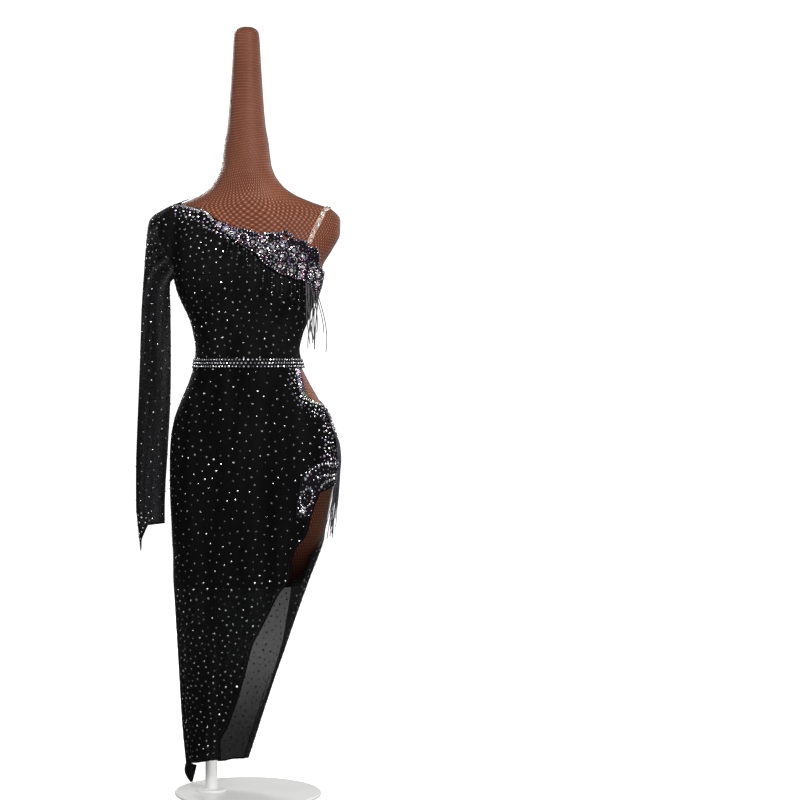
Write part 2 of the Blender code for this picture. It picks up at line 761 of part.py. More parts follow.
def strap_slider(made_of):
    angle = angle_at(FORM_ROWS, SLIDER_X, SLIDER_HEIGHT, back=True)
    lift = STRAP_LIFT + STRAP_WALL + SEAM + SLIDER_SIZE[1] / 2 + SEAM
    bm = bmesh.new()
    bmesh.ops.create_cube(bm, size=1.0)
    bmesh.ops.scale(bm, vec=SLIDER_SIZE, verts=bm.verts)
    node = add_object("strap_slider", bm, made_of)
    node.location = lifted(FORM_ROWS, angle, SLIDER_HEIGHT, lift)
    out = lifted(FORM_ROWS, angle, SLIDER_HEIGHT, lift + STEP) - node.location
    node.rotation_euler = (0, 0, math.atan2(out.y, out.x) - math.pi / 2)
    edge = node.modifiers.new("edge", "BEVEL")
    edge.width = 0.0005
    edge.segments = 2


def neck_edge(angle, column):
    """Height of the neck applique's top (column 1) or bottom (2) edge at an angle."""
    height = NECK_APPLIQUE[len(NECK_APPLIQUE) // 2][column]
    for _ in range(6):
        height = smooth_between(NECK_APPLIQUE, surface(FORM_ROWS, angle, height).x, column)
    return height


def open_ring(loop):
    """Angles and heights of the round hole inside a loop of them on the form."""
    middle = [sum(column) / len(loop) for column in zip(*loop)]
    centre = lifted(FORM_ROWS, *middle, TRIM_LIFT)
    hole = []
    for place in loop:
        share = OPEN_RING_RADIUS / (lifted(FORM_ROWS, *place, TRIM_LIFT) - centre).length
        hole.append([mix(start, end, share) for start, end in zip(middle, place)])
    return hole


def neck_applique(made_of):
    first, last = (
        angle_at(FORM_ROWS, x, (top + bottom) / 2) for x, top, bottom in (NECK_APPLIQUE[0], NECK_APPLIQUE[-1])
    )
    places = []
    for level in range(5):
        row = []
        for k in range(NECK_APPLIQUE_COLUMNS + 1):
            f = k / NECK_APPLIQUE_COLUMNS
            angle = mix(first, last, f)
            scallop = SCALLOP * abs(math.sin(math.pi * NECK_SCALLOPS * f)) * min(1.0, 4 * f)
            row.append((angle, mix(neck_edge(angle, 2) - scallop, neck_edge(angle, 1) + scallop, level / 4)))
        places.append(row)
    rows = [[lifted(FORM_ROWS, *place, TRIM_LIFT) for place in row] for row in places]
    hole = open_ring(loop_round(places, OPEN_RING_COLUMNS))
    collar = [lifted(FORM_ROWS, *place, TRIM_LIFT) for place in hole]
    add_object("neck_applique", loft(rows, gap=OPEN_RING_COLUMNS, collar=collar), made_of, APPLIQUE_WALL)


def hip_applique(made_of):
    heights = [row[0] for row in HIP_APPLIQUE]
    heights = closer(heights, (heights[0], heights[-1]))
    rows = []
    for height in closer(heights, HIP_APPLIQUE_TURN):
        ends = [smooth_between(HIP_APPLIQUE, height, column) for column in (1, 2)]
        across = [mix(*ends, k / HIP_APPLIQUE_COLUMNS) for k in range(HIP_APPLIQUE_COLUMNS + 1)]
        rows.append([lifted(SKIRT_ROWS, angle, height, TRIM_LIFT) for angle in across])
    add_object("hip_applique", loft(rows), made_of, APPLIQUE_WALL)


def pushed_clear(rows, point, lift):
    """The point, moved out from the section's middle until it is this far off the surface."""
    centre, wide, front, back, middle, power = section(rows, point.z)
    across, forward = point.x - centre, middle - point.y
    bust = cup(across, point.z) if forward > 0 else 0.0
    forward -= bust
    deep = front if forward > 0 else back
    inside = abs(across / (wide + lift)) ** power + abs(forward / (deep + lift)) ** power
    if inside >= 1:
        return point
    out = inside ** (-1 / power)
    return Vector((centre + across * out, middle - forward * out - bust, point.z))


def fringe(name, rows, root, count, length, lift, made_of):
    """Strands that hang from one strip. root gives an angle and a height at a share of the way
    along, and length the strand's own. Every second piece of the strip's underside grows one."""
    start, end = (lifted(rows, *root(f), lift) for f in (0.0, 1.0))
    half_share = STRAND / 2 / (end - start).length
    stations = []
    for k in range(count):
        middle = (k + 0.5) / count
        stations += [middle - half_share, middle + half_share]
    bm = bmesh.new()
    loops = []
    for share in stations:
        angle, height = root(share)
        loops.append(
            [
                bm.verts.new(lifted(rows, angle, height - FRINGE_STRIP, lift)),
                bm.verts.new(lifted(rows, angle, height, lift)),
                bm.verts.new(lifted(rows, angle, height, lift + STRAND)),
                bm.verts.new(lifted(rows, angle, height - FRINGE_STRIP, lift + STRAND)),
            ]
        )
    bm.faces.new(loops[0])
    bm.faces.new(reversed(loops[-1]))
    for first, second in zip(loops, loops[1:]):
        for i in range(4):
            j = (i + 1) % 4
            bm.faces.new((first[i], second[i], second[j], first[j]))
    bmesh.ops.recalc_face_normals(bm, faces=bm.faces)
    for k in range(count):
        first, second = loops[2 * k], loops[2 * k + 1]
        corners = {first[0], first[3], second[0], second[3]}
        foot = next(face for face in first[0].link_faces if corners == set(face.verts))
        hang(bm, foot, rows, k, length(k), lift)
    add_object(name, bm, made_of)


def hang(bm, foot, rows, index, length, lift):
    """Grows one strand down from its foot on the strip, clear of what it hangs against."""
    drop = length / STRAND_SEGMENTS
    for part in range(STRAND_SEGMENTS):
        foot = bmesh.ops.extrude_discrete_faces(bm, faces=[foot])["faces"][0]
        sway = 0.0012 * math.sin(1.7 * index + 1.3 * part)
        old = foot.calc_center_median()
        new = pushed_clear(rows, old + Vector((sway, -0.6 * sway, -drop)), lift + STRAND + STRAND_SWING)
        bmesh.ops.translate(bm, verts=foot.verts, vec=new - old)


def bust_fringe(made_of):
    def root(share):
        x = mix(*BUST_FRINGE_X, share)
        height = smooth_between(NECK_APPLIQUE, x, 2) - SCALLOP - 0.0015
        return angle_at(FORM_ROWS, x, height), height

    def length(k):
        share = k / (BUST_STRANDS - 1)
        return mix(*BUST_FRINGE_LENGTHS, share) * (1 + 0.12 * math.sin(2.4 * k))

    fringe("bust_fringe", FORM_ROWS, root, BUST_STRANDS, length, TRIM_LIFT, made_of)


def hip_fringe(made_of):
    def root(share):
        return tuple(mix(*pair, share) for pair in zip(*HIP_FRINGE_ENDS))

    def length(k):
        return mix(*HIP_FRINGE_LENGTHS, 0.5 + 0.5 * math.sin(2.1 * k))

    fringe("hip_fringe", SKIRT_ROWS, root, HIP_STRANDS, length, HIP_FRINGE_LIFT, made_of)


def base(made_of):
    bm = bmesh.new()
    bmesh.ops.create_cone(
        bm, cap_ends=True, segments=48, radius1=BASE_RADIUS, radius2=BASE_RADIUS, depth=BASE_THICK
    )
    node = add_object("base", bm, made_of)
    node.location = (0, 0, BASE_THICK / 2)
    edge = node.modifiers.new("edge", "BEVEL")
    edge.width = BASE_ROUND
    edge.limit_method = "ANGLE"


def pole(made_of):
    low, high = BASE_THICK + SEAM, FORM_ROWS[0][0] - SEAM
    foot_radius, foot_thick = FOOT_FLANGE
    head_radius, head_thick = HEAD_FLANGE
    outline = (
        (0.0, high),
        (head_radius, high),
        (head_radius, high - head_thick),
        (POLE_RADIUS, high - head_thick),
        (POLE_RADIUS, low + foot_thick),
        (foot_radius, low + foot_thick),
        (foot_radius, low),
        (0.0, low),
    )
    bm = bmesh.new()
    verts = [bm.verts.new((radius, 0, height)) for radius, height in outline]
    for first, second in zip(verts, verts[1:]):
        bm.edges.new((first, second))
    node = add_object("pole", bm, made_of)
    node.location = (POLE_X, 0, 0)
    turn = node.modifiers.new("turn", "SCREW")
    turn.steps = turn.render_steps = POLE_SIDES
    turn.use_merge_vertices = True
    turn.merge_threshold = 0.00001


def main():
    for old in list(bpy.data.objects):
        bpy.data.objects.remove(old)
    bpy.context.scene.collection.children.link(bpy.data.collections.new(COLLECTION))

    black = material("black_cloth", (0.010, 0.010, 0.011), 0.85)
    sheer = material("sheer_black_cloth", (0.014, 0.014, 0.015), 0.80)
    lace = material("black_lace", (0.012, 0.010, 0.014), 0.60)
    crystal = material("crystal_band", (0.10, 0.10, 0.11), 0.25, 0.6)
    nude = material("nude_strap", (0.66, 0.48, 0.38), 0.45)
    thread = material("black_fringe", (0.015, 0.015, 0.017), 0.50)
    skin = material("brown_form", (0.26, 0.10, 0.060), 0.55)
    paint = material("white_paint", (0.80, 0.80, 0.80), 0.35)
    metal = material("bright_metal", (0.75, 0.72, 0.68), 0.25, 1.0)

    form(skin)
    front_bodice(black)
    back_bodice(black)
    front_skirt(black)
    back_skirt(black)
    sleeve(sheer)
    hem_tail(black)
    belt(crystal)
    shoulder_strap(nude)
    back_strap(nude)
    strap_slider(metal)
    neck_applique(lace)
    hip_applique(lace)
    bust_fringe(thread)
    hip_fringe(thread)
    base(paint)
    pole(paint)


main()
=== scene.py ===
"""Looks of a one-sleeved latin dance dress on a limbless dress form.

Metres, +Z up; the front faces -Y and the wearer's left is +X. Angles go round the body: 0 front,
90 wearer's left, 180 back, 270 (or -90) wearer's right. The tables repeat the CAD part's, and
every cloth panel is a finer grid on the same surfaces, with creases, bindings and crystals.
"""

import itertools
import json
import math

import bpy
import numpy as np
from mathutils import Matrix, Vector

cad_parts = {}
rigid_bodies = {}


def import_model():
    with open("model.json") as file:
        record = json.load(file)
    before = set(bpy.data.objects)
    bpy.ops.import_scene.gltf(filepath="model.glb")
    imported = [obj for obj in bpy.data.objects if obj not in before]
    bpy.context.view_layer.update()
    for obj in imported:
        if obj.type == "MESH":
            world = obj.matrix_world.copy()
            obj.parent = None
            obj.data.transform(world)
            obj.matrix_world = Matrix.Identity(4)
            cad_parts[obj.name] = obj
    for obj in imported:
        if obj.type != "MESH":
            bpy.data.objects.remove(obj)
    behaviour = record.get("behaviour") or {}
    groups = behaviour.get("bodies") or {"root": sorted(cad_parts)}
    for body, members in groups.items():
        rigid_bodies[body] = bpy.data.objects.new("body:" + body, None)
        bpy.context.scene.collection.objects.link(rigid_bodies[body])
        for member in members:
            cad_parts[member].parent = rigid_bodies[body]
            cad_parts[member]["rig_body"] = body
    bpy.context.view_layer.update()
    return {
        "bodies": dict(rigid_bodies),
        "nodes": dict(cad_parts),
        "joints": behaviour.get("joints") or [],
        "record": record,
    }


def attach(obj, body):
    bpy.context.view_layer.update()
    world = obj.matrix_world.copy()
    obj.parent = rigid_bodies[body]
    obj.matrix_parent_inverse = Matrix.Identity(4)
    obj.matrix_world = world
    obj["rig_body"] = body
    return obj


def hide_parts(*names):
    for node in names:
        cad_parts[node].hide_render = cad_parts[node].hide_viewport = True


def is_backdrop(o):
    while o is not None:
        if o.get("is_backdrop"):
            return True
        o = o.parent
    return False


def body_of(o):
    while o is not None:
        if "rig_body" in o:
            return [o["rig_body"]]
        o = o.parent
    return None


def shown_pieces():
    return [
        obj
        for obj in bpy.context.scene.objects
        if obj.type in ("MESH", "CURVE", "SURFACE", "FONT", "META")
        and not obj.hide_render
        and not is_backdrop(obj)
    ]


# Walls: the cloth lies inside the space that its CAD wall holds
CLOTH_LIFT = 0.0036  # form to the outer face of the cloth
CLOTH_WALL, LACE_WALL, TAPE_WALL, BELT_WALL = 0.0008, 0.0008, 0.0009, 0.0014
SEAM, SEAM_ANGLE = 0.0003, 0.10
TRIM_LIFT = 0.0052
APPLIQUE_LIFT = TRIM_LIFT + 0.0006
CORD_LIFT, CENTRE_LIFT, RING_LIFT = APPLIQUE_LIFT + 0.0002, APPLIQUE_LIFT + 0.0003, APPLIQUE_LIFT + 0.0005
STEP = 0.0005  # for slopes of a surface
TURN_STEP = math.degrees(STEP / 0.1)  # turns by about as much where the body is 0.1 m deep
RIDGE_RANGE, RIDGE_HALVINGS = (1.180, 1.240), 40  # heights that hold the shoulder's top
CURVE_SAMPLES = 1600  # of a curve that is read off a fine table
ARC_SAMPLES = 400  # of a curve whose length is measured

# Rows and columns of each piece's grid
FRONT_BODICE_GRID, BACK_BODICE_GRID = (150, 150), (170, 24)
FRONT_SKIRT_GRID, BACK_SKIRT_GRID = (290, 120), (270, 150)
SLEEVE_GRID, SLEEVE_JOINT_ROWS = (230, 72), 8
NECK_GRID, HIP_GRID = (36, 181), (120, 56)
BELT_GRID, TAIL_GRID = (9, 220), (24, 20)
STRAP_ROWS_EACH, STRAP_COLUMNS = 24, 7
FORM_BANDS = ((0.428, 0.520, 24), (0.520, 1.250, 190), (1.250, 1.571, 96))  # low, high and rows
FORM_SIDES = 160

# Stations up the body: height, wearer's right, wearer's left, front, back, middle, roundness
FORM_ROWS = (
    (0.4280, -0.131, 0.106, -0.078, 0.082, 0.004, 2.20),
    (0.4380, -0.138, 0.114, -0.084, 0.088, 0.004, 2.20),
    (0.4790, -0.145, 0.131, -0.089, 0.096, 0.004, 2.20),
    (0.5200, -0.150, 0.149, -0.093, 0.105, 0.005, 2.25),
    (0.5610, -0.154, 0.160, -0.096, 0.112, 0.006, 2.30),
    (0.6020, -0.156, 0.168, -0.099, 0.119, 0.006, 2.35),
    (0.6430, -0.157, 0.177, -0.101, 0.126, 0.006, 2.40),
    (0.6840, -0.157, 0.182, -0.102, 0.128, 0.006, 2.40),
    (0.7250, -0.155, 0.178, -0.101, 0.123, 0.005, 2.40),
    (0.7660, -0.148, 0.166, -0.097, 0.112, 0.004, 2.40),
    (0.8070, -0.133, 0.146, -0.091, 0.098, 0.002, 2.35),
    (0.8480, -0.116, 0.123, -0.084, 0.087, 0.000, 2.30),
    (0.8830, -0.1065, 0.107, -0.080, 0.081, 0.000, 2.25),
    (0.9100, -0.104, 0.102, -0.079, 0.080, 0.000, 2.25),
    (0.9400, -0.108, 0.108, -0.082, 0.083, 0.000, 2.25),
    (0.9710, -0.116, 0.120, -0.086, 0.087, 0.000, 2.30),
    (1.0020, -0.130, 0.130, -0.090, 0.090, 0.000, 2.30),
    (1.0300, -0.142, 0.143, -0.094, 0.092, 0.000, 2.30),
    (1.0530, -0.148, 0.149, -0.095, 0.093, 0.001, 2.30),
    (1.0800, -0.153, 0.153, -0.092, 0.094, 0.003, 2.30),
    (1.1150, -0.170, 0.173, -0.085, 0.094, 0.006, 2.30),
    (1.1500, -0.185, 0.1895, -0.073, 0.089, 0.008, 2.30),
    (1.1760, -0.185, 0.1900, -0.062, 0.080, 0.009, 2.30),
    (1.1965, -0.169, 0.174, -0.053, 0.071, 0.009, 2.25),
    (1.2130, -0.128, 0.131, -0.047, 0.063, 0.008, 2.20),
    (1.2295, -0.094, 0.094, -0.045, 0.058, 0.007, 2.10),
    (1.2460, -0.075, 0.072, -0.047, 0.057, 0.006, 2.00),
    (1.2700, -0.061, 0.055, -0.050, 0.061, 0.006, 2.00),
    (1.2910, -0.054, 0.048, -0.045, 0.057, 0.006, 2.00),
    (1.3320, -0.049, 0.043, -0.040, 0.052, 0.006, 2.00),
    (1.3730, -0.042, 0.036, -0.033, 0.045, 0.006, 2.00),
    (1.4345, -0.037, 0.031, -0.028, 0.040, 0.006, 2.00),
    (1.4960, -0.033, 0.027, -0.024, 0.036, 0.006, 2.00),
    (1.5575, -0.029, 0.023, -0.020, 0.032, 0.006, 2.00),
    (1.5660, -0.025, 0.019, -0.016, 0.028, 0.006, 2.00),
    (1.5710, -0.017, 0.011, -0.008, 0.020, 0.006, 2.00),
)
CUP_X, CUP_HEIGHT, CUP_DEPTH = 0.074, 1.040, 0.022
CUP_WIDE, CUP_TALL = 0.044, 0.050
SKIRT_LEAVES_FORM = 0.560
SKIRT_ROWS = (
    (0.030, -0.118, -0.020, -0.056, 0.052, 0.000, 2.10),
    (0.069, -0.124, -0.006, -0.062, 0.058, 0.000, 2.10),
    (0.151, -0.132, 0.021, -0.070, 0.068, 0.000, 2.10),
    (0.233, -0.137, 0.048, -0.077, 0.077, 0.000, 2.10),
    (0.315, -0.142, 0.078, -0.083, 0.085, 0.002, 2.15),
    (0.397, -0.147, 0.107, -0.090, 0.095, 0.004, 2.20),
    (0.452, -0.150, 0.127, -0.093, 0.101, 0.005, 2.20),
    (0.485, -0.150, 0.140, -0.094, 0.104, 0.005, 2.20),
    (0.520, -0.152, 0.152, -0.096, 0.108, 0.005, 2.25),
) + tuple(row for row in FORM_ROWS if row[0] >= SKIRT_LEAVES_FORM)
# Soft folds of the hanging skirt: angle, height where it fades out, depth outwards, half-width
SKIRT_FOLDS = (
    (-66.0, 0.43, -0.004, 13.0), (-40.0, 0.4, 0.005, 14.0), (-12.0, 0.42, -0.0045, 12.0),
    (108.0, 0.38, -0.004, 12.0), (133.0, 0.43, 0.005, 14.0), (158.0, 0.4, -0.005, 13.0),
    (184.0, 0.43, 0.005, 14.0), (210.0, 0.39, -0.0045, 13.0), (236.0, 0.42, 0.0045, 13.0),
)
FOLD_FADE = 0.22

WAIST, ARMPIT = 0.883, 1.057
BODICE_RANGE, SKIRT_RANGE = (0.87, 1.24), (0.05, 0.89)  # heights that hold the panels
# Edges as X and height, on the front or on the back
NECKLINE = (
    (-0.121, 1.214), (-0.096, 1.193), (-0.068, 1.172), (-0.037, 1.158), (-0.012, 1.142), (0.02, 1.132),
    (0.055, 1.129), (0.088, 1.12), (0.113, 1.113), (0.127, 1.098), (0.138, 1.08),
)
SIDE_TOP = 1.0640
SIDE_ANGLES, SIDE_TURN = (72.0, 88.0), 0.012  # the free side edge at the waist, and this far above it
HIP_CUT_OUT = (
    (0.099, 0.883), (0.102, 0.872), (0.107, 0.851), (0.111, 0.832), (0.119, 0.814), (0.133, 0.8015),
)
SIDE_CUT_OUT, SIDE_CUT_OUT_X = 0.7950, 0.152
SLIT_TOP = 0.6400
SLIT_EDGE = (
    (0.143, 0.6225), (0.127, 0.577), (0.116, 0.536), (0.096, 0.51), (0.086, 0.479), (0.083, 0.448),
    (0.061, 0.418), (0.032, 0.36), (0.008, 0.313), (-0.006, 0.258), (-0.021, 0.206), (-0.04, 0.152),
    (-0.056, 0.116), (-0.055, 0.084),
)
# The back panel's edge by the slit: height and angle
WRAP_EDGE = (
    (0.07, 67.0), (0.15, 63.0), (0.24, 68.0), (0.313, 63.0), (0.36, 55.5), (0.4, 50.5), (0.44, 45.5),
    (0.465, 43.0), (0.485, 45.0), (0.505, 66.0), (0.53, 92.0), (0.56, 95.0), (0.622, 90.0),
)
BACK_DIP = (
    (-0.088, 0.872), (-0.059, 0.856), (-0.01, 0.838), (0.031, 0.829), (0.083, 0.823), (0.128, 0.816),
)
BACK_DIP_END = 0.88  # the share of the way round where the back is at the waist again
OPEN_BACK = (
    (-0.07, 0.883), (-0.076, 0.899), (-0.096, 0.9505), (-0.109, 1.0115), (-0.122, 1.065), (-0.129, 1.1145),
    (-0.136, 1.176), (-0.137, 1.2),
)
STRIP_LEAST = 1.5  # degrees that the back strip keeps beside the armhole
FRONT_HEM = ((0.0, 0.068), (0.3, 0.070), (1.0, 0.084))
BACK_HEM = ((0.0, 0.083), (0.2, 0.070), (0.55, 0.056), (1.0, 0.066))
ARMHOLE = ((1.0570, -0.1480), (1.0800, -0.1495), (1.1100, -0.1515), (1.1500, -0.1545), (1.1850, -0.1580))
ARMHOLE_TOP_X = -0.160
# Sleeve rings: inner X, inner height, outer X, outer height, reach to the front and to the back
SLEEVE_RINGS = (
    (-0.1565, 1.0520, -0.1790, 1.1950, 0.052, 0.055),
    (-0.1580, 1.0500, -0.1930, 1.1865, 0.053, 0.057),
    (-0.1590, 1.0470, -0.2035, 1.1720, 0.050, 0.055),
    (-0.1595, 1.0430, -0.2075, 1.1470, 0.044, 0.050),
    (-0.1600, 1.0360, -0.2105, 1.1150, 0.036, 0.042),
    (-0.1600, 1.0250, -0.2130, 1.0800, 0.029, 0.034),
    (-0.1590, 1.0050, -0.2160, 1.0400, 0.023, 0.027),
    (-0.1585, 0.9700, -0.2190, 0.9900, 0.020, 0.023),
    (-0.1580, 0.9200, -0.2210, 0.9300, 0.018, 0.020),
    (-0.1580, 0.8650, -0.2230, 0.8700, 0.017, 0.018),
    (-0.1590, 0.8050, -0.2255, 0.8070, 0.016, 0.017),
    (-0.1620, 0.7450, -0.2280, 0.7450, 0.016, 0.016),
    (-0.1655, 0.6850, -0.2300, 0.6850, 0.015, 0.016),
    (-0.1690, 0.6300, -0.2305, 0.6300, 0.015, 0.015),
    (-0.1705, 0.5850, -0.2300, 0.5830, 0.015, 0.015),
    (-0.1705, 0.5550, -0.2295, 0.5490, 0.015, 0.015),
)
SLEEVE_MIDDLE = 0.006
CUFF_POINT_DROP, CUFF_POINT_IN, CUFF_POINT_HALF, CUFF_POINT_CURVE = 0.051, 0.0085, 78.0, 1.7
CUFF_RISE = 1.2  # how fast the cuff's point fades out up the sleeve
# Vertical folds in the sleeve: angle from its outer edge, depth inwards and half-width
SLEEVE_FOLDS = ((62.0, 0.0030, 14.0), (112.0, 0.0025, 13.0), (238.0, 0.0030, 14.0), (292.0, 0.0025, 14.0))
SLEEVE_FOLD_TOP, SLEEVE_FOLD_FADE = 1.030, 0.080

BELT_LOW, BELT_HIGH, BELT_CROWN, BELT_SWELL = 0.8710, 0.8905, 0.0007, 0.0008
BELT_STONES, BELT_STONE = 100, 0.0020  # crystals in a row, and their radius
BELT_LEVELS = (1.1, 4.0, 6.9)  # the rows on the grid
SHOULDER_STRAP_WIDTH, BACK_STRAP_WIDTH, STRAP_LIFT = 0.0095, 0.0115, 0.0026
SHOULDER_STRAP_FRONT = ((0.122, 1.1230), (0.129, 1.1400), (0.139, 1.1600), (0.149, 1.1800), (0.156, 1.1930))
SHOULDER_STRAP_BACK = (
    (0.166, 1.186), (0.161, 1.16), (0.155, 1.13), (0.147, 1.1), (0.139, 1.07), (0.133, 1.051),
)
SHOULDER_STRAP_TOP_X = 0.164
BACK_STRAP = (
    (0.139, 1.043), (0.09, 1.042), (0.041, 1.039), (-0.01, 1.036), (-0.06, 1.032), (-0.112, 1.028),
)
BACK_STRAP_SIDE = (96.0, 1.0430)
STRAP_CROWN = 0.0003
STRAP_STONES = ((1.6, 0.2), (4.4, 0.7))  # each row of crystals: its column and its offset
STRAP_SPACING, STRAP_STONE = 0.0042, 0.0019
SLIDER_X, SLIDER_HEIGHT = 0.041, 1.0390
SLIDER_LIFT, SLIDER_HALF_WIDE, SLIDER_HALF_TALL, SLIDER_CORNERS = 0.0019, 0.0040, 0.0074, 0.45
SLIDER_SIDES, SLIDER_BAR, SLIDER_WIRE = 32, 0.0070, 0.0008

# Neck applique: X, top and bottom. Hip applique: height, first and last angle
NECK_APPLIQUE = (
    (-0.072, 1.17, 1.16), (-0.05, 1.162, 1.146), (-0.03, 1.153, 1.13), (-0.01, 1.148, 1.116),
    (0.012, 1.142, 1.103), (0.032, 1.138, 1.083), (0.052, 1.139, 1.067), (0.074, 1.145, 1.057),
    (0.092, 1.13, 1.052), (0.112, 1.124, 1.048), (0.127, 1.107, 1.036), (0.138, 1.085, 1.026),
    (0.1475, 1.068, 1.018),
)
NECK_SCALLOPS, SCALLOP = 9, 0.004
HIP_APPLIQUE = (
    (0.57, 31.5, 46.0), (0.592, 30.0, 47.0), (0.6225, 29.5, 50.0), (0.644, 29.5, 94.0),
    (0.658, 31.0, 100.0), (0.674, 37.5, 104.0), (0.69, 57.5, 106.0), (0.725, 74.0, 108.0),
    (0.76, 71.0, 109.0), (0.788, 69.0, 110.0),
)
NECK_OPEN_RING = (0.0743, 1.1322, 0.0055)  # X, height and radius of the hole
# Rings of the neck applique: X, height and radius
NECK_RINGS = (
    (-0.058, 1.159, 0.005), (-0.044, 1.15, 0.0062), (-0.028, 1.141, 0.0078), (-0.01, 1.131, 0.0092),
    (0.01, 1.122, 0.0092), (0.03, 1.1245, 0.0095), (0.027, 1.103, 0.0085), (0.049, 1.112, 0.0095),
    (0.046, 1.09, 0.009), (0.069, 1.115, 0.0092), (0.067, 1.093, 0.0095), (0.063, 1.0715, 0.0085),
    (0.09, 1.106, 0.0092), (0.087, 1.084, 0.0092), (0.084, 1.064, 0.008), (0.108, 1.094, 0.0088),
    (0.106, 1.073, 0.0088), (0.103, 1.056, 0.007), (0.124, 1.078, 0.008), (0.122, 1.059, 0.008),
    (0.136, 1.062, 0.007), (0.134, 1.043, 0.007),
)
OPEN_EVERY, NECK_CENTRE, NECK_SMALL = 5, 0.0043, 0.0020  # one ring in five has no middle crystal
OPEN_RING_GROWTH, OPEN_RING_CLEAR, OPEN_SMALL = 0.0030, 0.0055, 0.0016  # crystals round the hole
# Rings of the hip applique: angle, height, radius, how tall for their width, and middle crystal
HIP_RINGS = (
    (38.0, 0.611, 0.0125, 1.6, 0.0), (36.5, 0.585, 0.005, 1.0, 0.003), (78.0, 0.702, 0.0088, 1.0, 0.0028),
    (92.0, 0.708, 0.0092, 1.0, 0.003), (102.0, 0.693, 0.008, 1.0, 0.0026),
    (84.0, 0.727, 0.009, 1.0, 0.0028), (98.0, 0.732, 0.0095, 1.0, 0.003),
    (77.0, 0.748, 0.0085, 1.0, 0.0026), (90.0, 0.753, 0.0092, 1.0, 0.0028),
    (103.0, 0.756, 0.0085, 1.0, 0.0026), (80.0, 0.772, 0.008, 1.0, 0.0026),
    (94.0, 0.775, 0.0085, 1.0, 0.0026),
)
# Its lines of crystals: angles and heights
HIP_ARCS = (
    (
        (33.0, 0.645), (38.0, 0.6676), (44.0, 0.6744), (53.0, 0.6783),
        (68.0, 0.6783), (80.0, 0.684), (95.0, 0.69),
    ),
    ((44.0, 0.65), (52.0, 0.6555), (62.0, 0.6555), (75.0, 0.657), (88.0, 0.662)),
    ((50.0, 0.63), (56.0, 0.642), (70.0, 0.648), (85.0, 0.65)),
)
HIP_SMALL, ARC_STONE, ARC_SPACING, ARC_CORD_SPACING = 0.0024, 0.0027, 0.0082, 0.0030
RING_SPACING, RING_LEAST, LOOP_POINTS = 2.7, 6, 31  # crystals stand 2.7 radii apart round a ring
LOOP_CORD = 0.0008

TAIL_ANGLES, TAIL_DROP, TAIL_TIP, TAIL_FLARE = (-91.0, -35.0), 0.003, (-0.1155, -0.020, 0.028), 0.007
TAIL_FOLD, TAIL_TIP_HALF, TAIL_TUCK = 0.0030, 0.002, (0.3, 0.3, 3.5)
# Creases of the stretched cloth: angle, height, half-width, half-height, slant and depth.
# The slant is metres of height for each degree.
FRONT_CREASES = (
    (-70.0, 1.01, 26.0, 0.006, 0.0012, 0.0014), (-62.0, 0.975, 30.0, 0.005, 0.0008, 0.0011),
    (-40.0, 0.945, 26.0, 0.0045, 0.0004, 0.0009), (-76.0, 1.1, 14.0, 0.008, 0.0034, 0.0018),
    (-66.0, 1.125, 12.0, 0.007, 0.003, 0.0013), (28.0, 0.96, 28.0, 0.005, -0.0006, 0.001),
    (62.0, 0.985, 20.0, 0.0055, -0.001, 0.0012), (2.0, 1.045, 12.0, 0.006, 0.0002, 0.001),
    (-20.0, 0.915, 18.0, 0.004, 0.0002, 0.0008), (48.0, 0.918, 16.0, 0.004, -0.0003, 0.0008),
)
SKIRT_CREASES = (
    (-58.0, 0.835, 24.0, 0.0055, 0.0006, 0.0012), (-30.0, 0.815, 26.0, 0.005, -0.0002, 0.001),
    (20.0, 0.8, 22.0, 0.006, -0.0009, 0.0011), (44.0, 0.77, 26.0, 0.0065, -0.0011, 0.0013),
    (58.0, 0.73, 24.0, 0.0065, -0.0012, 0.0012), (-72.0, 0.7, 20.0, 0.008, 0.001, 0.0012),
    (-20.0, 0.66, 30.0, 0.009, 0.0003, 0.001), (16.0, 0.6, 16.0, 0.01, -0.002, 0.0014),
    (-50.0, 0.56, 24.0, 0.01, 0.0008, 0.0012), (0.0, 0.5, 20.0, 0.012, -0.0014, 0.0014),
    (130.0, 0.79, 26.0, 0.0055, 0.0005, 0.0011), (206.0, 0.8, 28.0, 0.006, -0.0005, 0.0012),
    (170.0, 0.64, 34.0, 0.009, 0.0002, 0.0013), (150.0, 0.6, 26.0, 0.01, 0.0008, 0.0012),
    (215.0, 0.585, 26.0, 0.01, -0.0009, 0.0013), (185.0, 0.53, 30.0, 0.012, 0.0004, 0.0013),
    (238.0, 0.69, 22.0, 0.008, -0.001, 0.0012),
)
# Extra hanging folds of the lower skirt: angle, its foot's angle, top height, half-width and depth
SKIRT_RIPPLES = (
    (-76.0, -70.0, 0.47, 7.0, 0.0022), (-52.0, -56.0, 0.42, 7.0, 0.0026), (-26.0, -33.0, 0.4, 6.0, 0.0024),
    (6.0, -8.0, 0.36, 7.0, 0.0022), (78.0, 84.0, 0.42, 7.0, 0.002), (96.0, 100.0, 0.4, 7.0, 0.0022),
    (121.0, 118.0, 0.44, 6.0, 0.0026), (146.0, 142.0, 0.39, 7.0, 0.0022), (172.0, 176.0, 0.43, 7.0, 0.0026),
    (198.0, 203.0, 0.4, 7.0, 0.0022), (224.0, 220.0, 0.44, 6.0, 0.0024), (250.0, 254.0, 0.41, 7.0, 0.0022),
)
